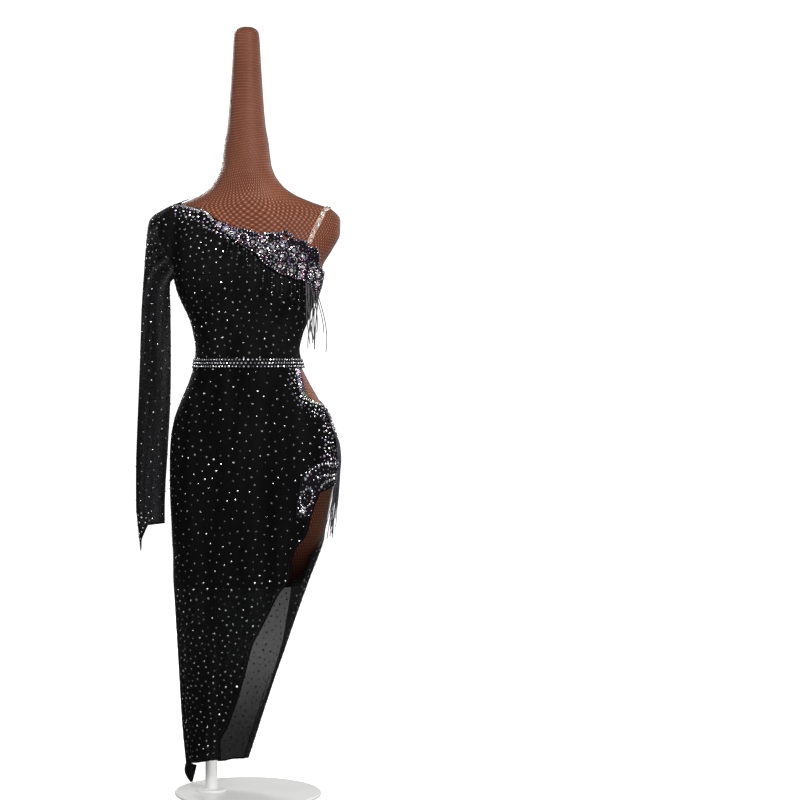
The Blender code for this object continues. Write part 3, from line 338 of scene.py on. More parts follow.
# Creases across the sleeve: height, turn, half-width in turn, half-height and depth
SLEEVE_CREASES = (
    (1.095, 150.0, 70.0, 0.007, 0.0022), (1.07, 165.0, 60.0, 0.006, 0.0018),
    (0.935, 170.0, 80.0, 0.006, 0.0016), (0.905, 60.0, 70.0, 0.007, 0.0014),
    (0.88, 190.0, 90.0, 0.006, 0.0018), (0.86, 300.0, 60.0, 0.006, 0.0013),
    (0.765, 120.0, 70.0, 0.006, 0.0013), (0.69, 230.0, 80.0, 0.007, 0.0014),
    (0.62, 60.0, 70.0, 0.006, 0.0012), (0.59, 170.0, 80.0, 0.006, 0.0014),
)
CREASE_DIP, CREASE_RIDGE = 0.55, 1.3

# Bindings as width and height, and stitches
EDGE, NARROW_EDGE, EDGE_INSET = (0.0016, 0.0010), (0.0010, 0.0007), 0.0006
OPEN_BACK_EDGE, CUFF_EDGE = (0.0022, 0.0013), (0.0013, 0.0009)
STITCH_SPACING, STITCH_LENGTH, STITCH_RADIUS = 0.0034, 0.0024, 0.00022
STITCH_SINK, STITCH_RISE = 0.0002, 0.0003
# Lines of stitches: the side they run along, and how far inside it
BODICE_STITCHES = (("top", 0.0042), ("right", 0.0042), ("left", 0.003))
FRONT_SKIRT_STITCHES = (("right", 0.006), ("bottom", 0.008), ("left", 0.003))
BACK_SKIRT_STITCHES = (("bottom", 0.008), ("top", 0.005))
SLEEVE_STITCHES = (("bottom", 0.006),)

# Fringes: where they hang, and their strands' numbers, lengths and thicknesses
BUST_FRINGE_X, BUST_THIN_STRANDS, BUST_THICK_STRANDS = (-0.040, 0.1475), 18, 14
BUST_THIN_SHARE, BUST_THIN_LENGTHS, BUST_THICK_LENGTHS = 0.80, (0.035, 0.065), (0.080, 0.128)
BUST_THIN, BUST_THICK, BUST_BEAD = 0.0003, 0.0010, 0.0011
HIP_FRINGE_ENDS, HIP_STRANDS = ((72.0, 0.738), (108.0, 0.700)), 26
HIP_LENGTHS, HIP_STRAND = (0.128, 0.190), 0.0008
BUST_FRINGE_LIFT, HIP_FRINGE_LIFT = TRIM_LIFT + 0.0010, TRIM_LIFT + 0.0022
FRINGE_TAPE, TAPE_SINK, TAPE_POINTS, ROOT_DROP = 0.0012, 0.0004, 30, 0.0005
STRAND_SEGMENTS, STRAND_CLEAR = 16, 0.0014
SWAY_ACROSS, SWAY_FORWARD = (0.10, 2.2), (0.08, 2.9)  # a strand's slope and how fast it turns
BUST_UNEVEN, BUST_SWING, HIP_SWING, HIP_LEAN, HIP_WAVE = (0.7, 1.2), 3.0, 1.5, 0.14, 2.1
FRINGE_GREY, FRINGE_DARK, FRINGE_BLUE = (0.11, 0.105, 0.11), (0.006, 0.006, 0.007), (0.045, 0.047, 0.055)

# Crystal tints, as linear colours
CLEAR_TINTS = ((0.88, 0.90, 0.94), (0.80, 0.82, 0.86), (0.92, 0.88, 0.86), (0.70, 0.72, 0.78))
VIOLET_TINTS = (
    (0.62, 0.48, 0.82), (0.80, 0.58, 0.78), (0.46, 0.40, 0.66), (0.86, 0.80, 0.92), (0.90, 0.90, 0.94)
)
GREEN_TINTS = ((0.72, 0.84, 0.62), (0.86, 0.88, 0.80), (0.60, 0.74, 0.60), (0.90, 0.90, 0.92))
BLUSH_TINTS = ((0.95, 0.80, 0.70), (0.92, 0.72, 0.60), (0.96, 0.90, 0.86))
PINK_TINTS = (
    (0.86, 0.56, 0.70), (0.90, 0.72, 0.80), (0.58, 0.34, 0.62), (0.36, 0.34, 0.70), (0.62, 0.16, 0.30)
)
# Painted glints and dimness: each crystal's tint is scaled at random, as if by how it is turned to the
# lamps: share of them, lowest and highest
SCATTERED = ((0.36, 0.10, 0.22), (0.42, 0.24, 0.44), (0.22, 0.52, 0.86))
LOW_SKIRT = ((0.40, 0.10, 0.22), (0.42, 0.22, 0.40), (0.18, 0.42, 0.72))
DIM = ((0.42, 0.14, 0.28), (0.38, 0.28, 0.50), (0.20, 0.60, 1.05))
CLOSE_SET = ((0.28, 0.12, 0.34), (0.34, 0.38, 0.70), (0.38, 0.85, 1.20))
SIDE_GLEAM = ((0.25, 0.20, 0.45), (0.30, 0.50, 0.85), (0.45, 0.95, 1.25))
SPARKLING = ((0.20, 0.20, 0.45), (0.30, 0.50, 0.85), (0.50, 0.90, 1.20))
BRIGHT = ((1.00, 0.95, 1.15),)
LOOSE = (0.22, 0.22)  # how far scattered crystals differ in size and tilt
STONE_SIDES = 8
# Rings of corners, as shares of the radius: radius and height, and the turn of the first corner in sides
STONE_RINGS = ((1.00, 0.00, 0.0), (0.96, 0.16, 0.0), (0.52, 0.46, 0.5))
SCATTER_TRIES = 14

# Where crystals gather: gaps at heights, and the close-set zones
BODICE_GAPS = ((1.08, 0.0136), (1.18, 0.0098))
SKIRT_GAPS = ((0.10, 0.0105), (0.40, 0.0125), (0.50, 0.0150), (0.85, 0.0160))
NECKLINE_CLUSTER_END = -0.010  # the close-set crystals below the neckline end at this X
NECKLINE_CLUSTER_WIDTH = 0.026
NECKLINE_ROWS_END = 0.30  # the edge's rows of crystals stop this far from its lower end
CUT_OUT_BAND, BACK_DIP_BAND, CLUSTER_FOOT = 0.030, 0.034, 0.690
CUT_OUT_END = 0.004  # the cut-out's crystals stop this far from its ends
CUT_OUT_GREEN = 0.822  # the band of crystals is greenish below this height
# Rows of crystals beside an edge: how far inside it each one runs, their spacing and their radius
NECKLINE_EDGE_ROWS, NECKLINE_ROWS = ((0.0035,), 0.0046, 0.0020), ((0.0080, 0.0124), 0.0048, 0.0020)
OPEN_BACK_ROWS = ((0.0045, 0.0085, 0.0125), 0.0044, 0.0019)
BACK_DIP_ROWS = ((0.0045, 0.0088, 0.0131), 0.0050, 0.0021)
CUT_OUT_ROWS = ((0.0045, 0.0088, 0.0131), 0.0048, 0.0021)
LOW_SCALLOP_ROWS, TOP_SCALLOP_ROWS = ((0.0018,), 0.0062, 0.0017), ((0.0018,), 0.0062, 0.0019)
SHEER_BELOW = 0.60  # the front skirt's crystals are smaller and dimmer below this height
SIDE_CLUSTER_X, SIDE_CLUSTER_FOOT, SIDE_CLUSTER_TOP = 0.153, 0.672, 0.800
SLEEVE_CAP = 1.075  # the sleeve is as closely set as the bodice above this height
CUFF_CLUSTER, CUFF_CLUSTER_WIDE = 0.080, 0.022  # above and beside the cuff's point
BODICE_STONE, SKIRT_STONE, SHEER_STONE = 0.0020, 0.0020, 0.0018
BACK_DIP_STONE, BACK_SKIRT_STONE = 0.0021, 0.0019
# Crystals of each zone: the gap between them, the margin kept clear at the edges, and their radius
NECKLINE_ZONE, BACK_STRIP_ZONE = (0.0070, 0.016, 0.0023), (0.0062, 0.0145, 0.0018)
CUT_OUT_ZONE, SIDE_ZONE = (0.0070, 0.016, 0.0022), (0.0074, 0.003, 0.0024)
SLEEVE_CAP_ZONE, SLEEVE_ZONE = (0.0118, 0.008, 0.0020), (0.0150, 0.008, 0.0018)
CUFF_ZONE, NECK_ZONE, HIP_ZONE = (0.0085, 0.003, 0.0019), (0.0064, 0.002, 0.0016), (0.0080, 0.003, 0.0017)
# Where the gap grows with distance from an edge: near it and far from it, as distance and gap, then
# the margin kept clear and the least gap
BODICE_FADE = ((NECKLINE_CLUSTER_WIDTH, 0.0090), (0.042, 0.0138), 0.005, 0.0088)
FRONT_SKIRT_FADE = ((CUT_OUT_BAND, 0.0085), (0.060, 0.0160), 0.010, 0.0083)
BACK_SKIRT_FADE = ((0.018, 0.0082), (0.065, 0.0160), 0.017, 0.0080)

# Materials: the knit's and the net's cells, and the window of bare thigh behind the wrap edge
KNIT_CELL, LACE_RIB, STRAND_TWIST = 0.0012, 0.0024, 0.0016
NET_CELLS, NET_TALL = 100, 0.0112
# The thigh's outer edge as X: its slant and its place at height 0
THIGH_SLANT, THIGH_SIDE = 0.39, -0.058
WINDOW_FOOT = 0.420  # the bare thigh shows above this height
WINDOW_OPACITY = -0.79  # what the window takes off the cloth's opacity
FORM_SEAM, FORM_SEAM_POINTS, FORM_SEAM_LIFT, FORM_SEAM_RADIUS = (0.90, 1.555), 120, 0.0002, 0.0009

CAMERA_HEIGHT, CAMERA_DISTANCE, FRAME_WIDTH, SENSOR = 0.807, 4.0, 1.64, 36.0
FIGURE_SHIFT = 0.19  # the figure stands left of the middle
BACKDROP_RADIUS, BACKDROP_HEIGHT, BACKDROP_SIDES = 8.0, 9.0, 64
BACKDROP_GLOW = 1.0
FLOOR_GLOW = 0.82
WORLD_LIGHT = 0.28
LIGHTS_TARGET = (0, 0, 0.9)
# Name, place, size and power
LIGHTS = (
    ("key", (1.7, -3.2, 2.6), (1.2, 1.6), 118),
    ("fill", (-2.6, -2.8, 1.8), (1.6, 2.0), 17),
    ("back_key", (-1.6, 3.2, 2.6), (1.2, 1.6), 100),
    ("back_fill", (2.6, 2.8, 1.6), (1.6, 2.0), 26),
    ("front_spot_left", (-3.0, -2.2, 0.7), (0.4, 0.4), 8),
    ("front_spot_high", (-0.7, -3.7, 3.2), (0.4, 0.4), 12),
    ("front_spot_right", (2.2, -3.4, 0.5), (0.4, 0.4), 8),
    ("front_spot_low", (-0.9, -4.4, 0.3), (0.4, 0.4), 8),
    ("side_spot_right", (3.6, -0.9, 2.4), (0.4, 0.4), 8),
    ("side_spot_left", (-3.6, 0.6, 1.9), (0.4, 0.4), 8),
    ("back_spot_right", (2.6, 3.2, 3.0), (0.4, 0.4), 8),
    ("back_spot_low", (-1.0, 4.2, 0.4), (0.4, 0.4), 8),
)


# Curves through the tables


def smooth_between(rows, at, column):
    """The column's value at a place in a table's first column, on a curve with no overshoot."""
    if at <= rows[0][0]:
        return rows[0][column]
    if at >= rows[-1][0]:
        return rows[-1][column]
    i = next(k for k in range(len(rows) - 1) if at <= rows[k + 1][0])

    def slope(k):
        return (rows[k + 1][column] - rows[k][column]) / (rows[k + 1][0] - rows[k][0])

    def tangent(k):
        if k == 0 or k == len(rows) - 1:
            return slope(min(k, len(rows) - 2))
        before, after = slope(k - 1), slope(k)
        return 0.0 if before * after <= 0 else 2 * before * after / (before + after)

    width = rows[i + 1][0] - rows[i][0]
    f = (at - rows[i][0]) / width
    start, end = rows[i][column], rows[i + 1][column]
    return (
        (1 + 2 * f) * (1 - f) ** 2 * start
        + f * (1 - f) ** 2 * width * tangent(i)
        + f * f * (3 - 2 * f) * end
        + f * f * (f - 1) * width * tangent(i + 1)
    )


def line_between(rows, at):
    """The second value at a place in a table of pairs, on straight lines."""
    return float(np.interp(at, *zip(*sorted(rows))))


def tabulated(function, low, high):
    """The same function for arrays, read off a fine table of itself."""
    at = np.linspace(low, high, CURVE_SAMPLES)
    values = np.array([function(x) for x in at])
    return lambda x: np.interp(x, at, values)


def smooth_curve(rows, column):
    return tabulated(lambda x: smooth_between(rows, x, column), rows[0][0], rows[-1][0])


def mix(start, end, f):
    return start + (end - start) * f


def smoothstep(f):
    f = np.clip(f, 0.0, 1.0)
    return f * f * (3 - 2 * f)


def bell(distance, half_width):
    f = np.abs((distance + 180) % 360 - 180) / half_width
    return np.where(f >= 1, 0.0, (1 + np.cos(np.pi * f)) / 2)


# The surfaces

FORM = [smooth_curve(FORM_ROWS, column) for column in range(1, 7)]
SKIRT = [smooth_curve(SKIRT_ROWS, column) for column in range(1, 7)]


def section(body, height):
    """Centre X, half-width, reach to the front and to the back, middle Y and roundness."""
    right, left, front, back, middle, power = (curve(height) for curve in body)
    return (left + right) / 2, (left - right) / 2, middle - front, back - middle, middle, power


def cup(x, height):
    across = (np.abs(x) - CUP_X) / CUP_WIDE
    up = (height - CUP_HEIGHT) / CUP_TALL
    return CUP_DEPTH * np.exp(-across * across - up * up)


def skirt_fold(angle, height):
    """The named soft folds, and finer ripples that run down between them."""
    total = np.zeros(np.broadcast(angle, height).shape)
    for at, top, depth, half in SKIRT_FOLDS:
        total = total + depth * bell(angle - at, half) * smoothstep((top - height) / FOLD_FADE)
    for at, foot, top, half, depth in SKIRT_RIPPLES:
        down = smoothstep((top - height) / FOLD_FADE)
        total = total + depth * down * bell(angle - mix(at, foot, down), half)
    return total


def surface(body, angle, height):
    angle, height = np.broadcast_arrays(np.asarray(angle, float), np.asarray(height, float))
    centre, wide, front, back, middle, power = section(body, height)
    s, c = np.sin(np.radians(angle)), np.cos(np.radians(angle))
    fold = skirt_fold(angle, height) if body is SKIRT else 0.0
    x = centre + np.sign(s) * np.abs(s) ** (2 / power) * (wide + fold)
    y = middle - np.sign(c) * np.abs(c) ** (2 / power) * (np.where(c > 0, front, back) + fold)
    y = y - np.where(c > 0, cup(x - centre, height) * np.sqrt(np.maximum(c, 0)), 0)
    return np.stack([x, y, height], -1)


def unit(vectors):
    return vectors / np.maximum(np.linalg.norm(vectors, axis=-1, keepdims=True), 1e-12)


def outward(body, angle, height):
    round_it = surface(body, angle + TURN_STEP, height) - surface(body, angle - TURN_STEP, height)
    up_it = surface(body, angle, height + STEP) - surface(body, angle, height - STEP)
    return unit(np.cross(round_it, up_it))


def crease(table, angle, height):
    """Soft troughs with a low ridge on either side, never deeper than the cloth's clearance."""
    total = 0.0
    for at, level, half_wide, half_tall, slant, depth in table:
        turn = (angle - at + 180) % 360 - 180
        along = bell(turn, half_wide)
        across = (height - level - slant * turn) / half_tall
        trough = (CREASE_RIDGE * across * across - CREASE_DIP) * np.exp(-across * across)
        total = total + depth * along * trough
    return total


def lifted(body, angle, height, lift, creases=()):
    angle, height = np.broadcast_arrays(np.asarray(angle, float), np.asarray(height, float))
    out = lift + (crease(creases, angle, height) if creases else 0.0)
    out = np.expand_dims(out * np.ones_like(height), -1)
    return surface(body, angle, height) + outward(body, angle, height) * out


def angle_at(body, x, height, back=False):
    centre, wide, _, _, _, power = section(body, height)
    share = np.minimum(1.0, np.abs(x - centre) / wide)
    angle = np.degrees(np.sign(x - centre) * np.arcsin(share ** (power / 2)))
    return 180 - angle if back else angle


def on_form(points, back=False):
    """Angles and heights on the form of points given as X and height."""
    return [(float(angle_at(FORM, x, z, back)), z) for x, z in points]


def ridge_height(x):
    """Height of the shoulder's top at this X, where the form's side has come in to it."""
    curve = FORM[0] if x < 0 else FORM[1]
    low, high = RIDGE_RANGE
    for _ in range(RIDGE_HALVINGS):
        height = (low + high) / 2
        low, high = (height, high) if abs(curve(height)) > abs(x) else (low, height)
    return low


ARMHOLE_TOP = ridge_height(ARMHOLE_TOP_X)
ARMHOLE_TABLE = ARMHOLE + ((ARMHOLE_TOP, ARMHOLE_TOP_X),)


def armhole_angle(height, back=False):
    side = 270.0 if back else -90.0
    if not ARMPIT < height < ARMHOLE_TOP:
        return side
    return float(angle_at(FORM, smooth_between(ARMHOLE_TABLE, height, 1), height, back))


# Grids of points, and the meshes made from them


class Grid:
    """Rows of points that go up, seen from outside with a row running to the right."""

    def __init__(self, points, wrap=False):
        self.points = np.asarray(points, float)
        self.wrap = wrap
        self.normals = self._normals()
        self.uv = self._uv()

    def _normals(self):
        p = self.points
        if self.wrap:
            round_it = np.roll(p, -1, 1) - np.roll(p, 1, 1)
        else:
            round_it = np.gradient(p, axis=1)
        return unit(np.cross(round_it, np.gradient(p, axis=0)))

    def _uv(self):
        """Real lengths along the rows and columns, from the middle of the first row."""
        p = np.concatenate([self.points, self.points[:, :1]], 1) if self.wrap else self.points
        across = np.linalg.norm(np.diff(p, axis=1), axis=-1)
        u = np.concatenate([np.zeros((len(p), 1)), np.cumsum(across, 1)], 1)
        u -= u[:, [u.shape[1] // 2]]
        up = np.linalg.norm(np.diff(p, axis=0), axis=-1)
        v = np.concatenate([np.zeros((1, p.shape[1])), np.cumsum(up, 0)], 0)
        return np.stack([u, v], -1)

    def at(self, row, column):
        """Positions, normals and rightward tangents at fractional rows and columns."""
        p, n = self.points, self.normals
        rows, columns = p.shape[:2]
        r = np.clip(row, 0, rows - 1.0001)
        r0 = r.astype(int)
        if self.wrap:
            c0 = np.floor(column).astype(int) % columns
            c1 = (c0 + 1) % columns
            fc = column - np.floor(column)
        else:
            c = np.clip(column, 0, columns - 1.0001)
            c0 = c.astype(int)
            c1, fc = c0 + 1, c - c0
        fr, fc = (r - r0)[:, None], fc[:, None]
        place = mix(mix(p[r0, c0], p[r0, c1], fc), mix(p[r0 + 1, c0], p[r0 + 1, c1], fc), fr)
        out = unit(mix(mix(n[r0, c0], n[r0, c1], fc), mix(n[r0 + 1, c0], n[r0 + 1, c1], fc), fr))
        right = mix(p[r0, c1] - p[r0, c0], p[r0 + 1, c1] - p[r0 + 1, c0], fr)
        right = unit(right - out * (right * out).sum(-1, keepdims=True))
        return place, out, right

    def area(self):
        p = self.points
        if self.wrap:
            p = np.concatenate([p, p[:, :1]], 1)
        return np.linalg.norm(
            np.cross(p[:-1, 1:] - p[:-1, :-1], p[1:, :-1] - p[:-1, :-1]), axis=-1
        )


def add_mesh(name, verts, faces, made_of, uv=None, smooth=True):
    mesh = bpy.data.meshes.new(name)
    mesh.from_pydata([tuple(v) for v in verts], [], [tuple(f) for f in faces])
    mesh.update()
    if uv is not None:
        layer = mesh.uv_layers.new(name="UVMap")
        layer.data.foreach_set("uv", np.asarray(uv, np.float32).ravel())
    if smooth:
        mesh.shade_smooth()
        mesh.set_sharp_from_angle(angle=math.radians(50))
    piece = bpy.data.objects.new(name, mesh)
    bpy.context.scene.collection.objects.link(piece)
    piece.data.materials.append(made_of)
    return piece


def grid_faces(rows, columns, wrap):
    """Corner index pairs (row, column) of each quad, anticlockwise seen from outside."""
    r, c = np.meshgrid(np.arange(rows - 1), np.arange(columns if wrap else columns - 1), indexing="ij")
    r, c = r.ravel(), c.ravel()
    return np.stack([r, r, r + 1, r + 1], 1), np.stack([c, c + 1, c + 1, c], 1)


def add_tint(piece, colours):
    """Gives each vertex its own colour, for a material to read."""
    rgba = np.ones((len(colours), 4), np.float32)
    rgba[:, :3] = colours
    layer = piece.data.attributes.new("tint", "FLOAT_COLOR", "POINT")
    layer.data.foreach_set("color", rgba.ravel())


def shell(name, grid, wall, made_of, gone=None):
    """A closed thin wall: the grid is its outer face, and the inner one lies wall inside it. gone
    marks the faces that a hole leaves out."""
    rows, columns = grid.points.shape[:2]
    count = rows * columns
    inner = grid.points - grid.normals * wall
    verts = np.concatenate([grid.points, inner]).reshape(-1, 3)
    r, c = grid_faces(rows, columns, grid.wrap)
    if gone is not None:
        r, c = r[~gone], c[~gone]
    index, uv = r * columns + c % columns, grid.uv[r, c]
    start, end = index.ravel(), np.roll(index, -1, 1).ravel()
    rim = ~np.isin(start * count + end, end * count + start)
    a, b = start[rim], end[rim]
    faces = np.concatenate([index, (index + count)[:, ::-1], np.stack([a + count, b + count, b, a], 1)])
    uvs = [uv, uv[:, ::-1], np.repeat(uv.reshape(-1, 2)[rim][:, None], 4, 1)]
    used, faces = np.unique(faces, return_inverse=True)
    return add_mesh(name, verts[used], faces.reshape(-1, 4), made_of, np.concatenate(uvs))


def tubes(name, lines, radius, made_of, sides=6, flat=None, tints=None):
    """Round or oval closed tubes along lines of points, joined in one mesh. flat gives for each
    line its outward normals and the tube's half-height, and tints each line's colour."""
    verts, faces, uvs = [], [], []
    turn = np.arange(sides) * math.tau / sides
    c_turn, s_turn = np.cos(turn)[None, :, None], np.sin(turn)[None, :, None]
    base = 0
    for k, line in enumerate(lines):
        line = np.asarray(line, float)
        along = unit(np.gradient(line, axis=0))
        if flat is None:
            guide = np.where(np.abs(along[:, [2]]) > 0.9, [[1.0, 0.0, 0.0]], [[0.0, 0.0, 1.0]])
            side, tall = unit(np.cross(along, guide)), radius
        else:
            out, tall = flat[k]
            side = unit(np.cross(along, out))
        up = np.cross(side, along)
        ring = side[:, None] * c_turn * radius + up[:, None] * s_turn * tall
        verts.append((line[:, None] + ring).reshape(-1, 3))
        r, c = grid_faces(len(line), sides, True)
        faces += [tuple(f) for f in (base + r * sides + c % sides)[:, ::-1]]
        uvs += [uv for quad in np.stack([c * radius, r * radius], -1)[:, ::-1] for uv in quad]
        end = base + (len(line) - 1) * sides
        faces += [tuple(base + np.arange(sides)), tuple(end + np.arange(sides)[::-1])]
        uvs += [(0.0, 0.0)] * (2 * sides)
        base += len(verts[-1])
    piece = add_mesh(name, np.concatenate(verts), faces, made_of, uvs)
    if tints is not None:
        add_tint(piece, np.repeat(tints, [len(part) for part in verts], 0))
    return piece


# Places on a grid


def inset_line(grid, side, inset):
    """Fractional rows and columns of a line that runs beside one edge, this far inside it."""
    p = grid.points
    rows, columns = p.shape[:2]
    if side in ("top", "bottom"):
        strips = p[::-1] if side == "top" else p
    else:
        strips = (p if side == "left" else p[:, ::-1]).transpose(1, 0, 2)
    depth = np.cumsum(np.linalg.norm(np.diff(strips, axis=0), axis=-1), 0)
    depth = np.concatenate([np.zeros((1, depth.shape[1])), depth])
    steps = np.array([np.interp(inset, depth[:, k], np.arange(len(depth))) for k in range(depth.shape[1])])
    if side == "top":
        return rows - 1 - steps, np.arange(columns, dtype=float)
    if side == "bottom":
        return steps, np.arange(columns, dtype=float)
    return np.arange(rows, dtype=float), steps if side == "left" else columns - 1 - steps


def spaced(grid, line, spacing, offset=0.5, ends=(0.0, 0.0)):
    """Places this far apart along a line of fractional rows and columns."""
    rows, columns = line
    place = grid.at(rows, columns)[0]
    length = np.concatenate([[0], np.cumsum(np.linalg.norm(np.diff(place, axis=0), axis=-1))])
    low, high = ends[0], length[-1] - ends[1]
    count = max(1, int((high - low) / spacing))
    at = low + (np.arange(count) + offset) * (high - low) / count
    return np.interp(at, length, rows), np.interp(at, length, columns)


def scattered(grid, gap, random, margin, keep, least=None):
    """Even but irregular places over a grid, at least gap apart. gap is a length or a function
    of position that goes down to least, and keep drops places."""
    area = grid.area()
    wanted = int(area.sum() / (0.8 * (least or gap) ** 2)) * SCATTER_TRIES
    cells = random.choice(area.size, wanted, p=area.ravel() / area.sum())
    row = cells // area.shape[1] + random.random(wanted)
    column = cells % area.shape[1] + random.random(wanted)
    place = grid.at(row, column)[0]
    lengths = grid.uv
    r, c = row.astype(int), column.astype(int)
    u, v = lengths[r, c, 0], lengths[r, c, 1]
    inside = (v > margin) & (lengths[-1, c, 1] - v > margin)
    if not grid.wrap:
        inside &= (u - lengths[r, 0, 0] > margin) & (lengths[r, -1, 0] - u > margin)
    if keep is not None:
        inside &= keep(place)
    gaps = np.full(wanted, gap) if np.isscalar(gap) else gap(place)
    cell = gaps.max()
    found, chosen = {}, []
    for k in np.flatnonzero(inside):
        x, y, z = place[k]
        i, j, m = int(x // cell), int(y // cell), int(z // cell)
        near = gaps[k] ** 2
        around = (
            other
            for key in itertools.product((i - 1, i, i + 1), (j - 1, j, j + 1), (m - 1, m, m + 1))
            for other in found.get(key, ())
        )
        if all((x - a) ** 2 + (y - b) ** 2 + (z - c) ** 2 >= near for a, b, c in around):
            found.setdefault((i, j, m), []).append((x, y, z))
            chosen.append(k)
    return row[chosen], column[chosen]


def parted(places, chosen):
    """The places that are chosen, and the others."""
    rows, columns = places
    return (rows[chosen], columns[chosen]), (rows[~chosen], columns[~chosen])


# Crystals


def distance_to(line, place):
    """How far each place is from the nearest point of a line."""
    return np.min(np.linalg.norm(place[:, None] - line[None], axis=-1), 1)


def closer_by(line, near, far, usual):
    """A gap function: near and far are distances from the line with the gap there, and beyond
    them the usual gap takes over."""

    def gap(place):
        beside = np.interp(distance_to(line, place), (near[0], far[0]), (near[1], far[1]))
        return np.minimum(beside, usual(place))

    return gap


def gap_up(table):
    """A gap function: the gap at each height, on lines through a table."""
    return lambda place: np.interp(place[:, 2], *zip(*table))


def stone_template():
    """A faceted dome: girdle, slanted facets and a flat table, closed below."""
    n = STONE_SIDES
    verts = []
    for radius, height, start in STONE_RINGS:
        turn = (np.arange(n) + start) * math.tau / n
        verts.append(np.stack([np.cos(turn) * radius, np.sin(turn) * radius, np.full(n, height)], 1))
    faces = [tuple(range(n - 1, -1, -1)), tuple(range(2 * n, 3 * n))]
    for i in range(n):
        j = (i + 1) % n
        faces += [(i, j, n + j, n + i), (n + i, n + j, 2 * n + i), (2 * n + i, n + j, 2 * n + j)]
    return np.concatenate(verts), faces


STONE_VERTS, STONE_FACES = stone_template()


class Stones:
    """Gathers crystals, then makes one mesh of them."""

    def __init__(self, seed):
        self.random = np.random.default_rng(seed)
        self.parts = []

    def add(self, grid, places, radius, tints, painted_gleam, spread=0.2, tilt=0.2):
        if len(places[0]):
            self.add_at(*grid.at(*places), radius, tints, painted_gleam, spread, tilt)

    def fill(self, grid, zone, keep, tints, painted_gleam, spread=0.2, tilt=0.2):
        """Scattered over a zone of a grid."""
        gap, margin, radius = zone
        self.add(grid, scattered(grid, gap, self.random, margin, keep), radius, tints, painted_gleam, spread, tilt)

    def near_edge(self, grid, edge, fade, usual, keep):
        """Places that are closer together near an edge, and stand the usual gap apart beyond it."""
        near, far, margin, least = fade
        return scattered(grid, closer_by(edge, near, far, gap_up(usual)), self.random, margin, keep, least)

    def add_on(self, body, angle, height, lift, radius, tints, painted_gleam, spread=0.15, tilt=0.15):
        """At angles and heights of a body's surface."""
        out = outward(body, angle, height)
        right = unit(np.cross([0.0, 0.0, 1.0], out))
        place = surface(body, angle, height) + out * lift
        self.add_at(place, out, right, radius, tints, painted_gleam, spread, tilt)

    def add_at(self, place, out, right, radius, tints, painted_gleam, spread, tilt):
        count = len(place)
        random = self.random
        out = unit(out + random.normal(0, tilt, (count, 3)))
        right = unit(right - out * (right * out).sum(-1, keepdims=True))
        ahead = np.cross(out, right)
        spin = random.random(count) * math.tau
        c, s = np.cos(spin)[:, None], np.sin(spin)[:, None]
        right, ahead = right * c + ahead * s, ahead * c - right * s
        size = radius * (1 + spread * random.uniform(-1, 1, count))[:, None, None]
        v = STONE_VERTS[None] * size
        world = v[..., :1] * right[:, None] + v[..., 1:2] * ahead[:, None] + v[..., 2:] * out[:, None]
        # Painted glint or dimness: each crystal's tint is scaled up or down at random.
        share, low, high = np.array(painted_gleam).T
        kind = random.choice(len(painted_gleam), count, p=share)
        colour = np.array(tints)[random.integers(0, len(tints), count)]
        colour = np.clip(colour * random.uniform(low[kind], high[kind])[:, None], 0, 1)
        self.parts.append((world + place[:, None], colour))

    def make(self, name, materials):
        verts, colours = (np.concatenate(part) for part in zip(*self.parts))
        count, per = verts.shape[:2]
        faces = [tuple(i + per * k for i in face) for k in range(count) for face in STONE_FACES]
        piece = add_mesh(name, verts.reshape(-1, 3), faces, materials["crystal"], smooth=False)
        add_tint(piece, np.repeat(colours, per, 0))


# Materials


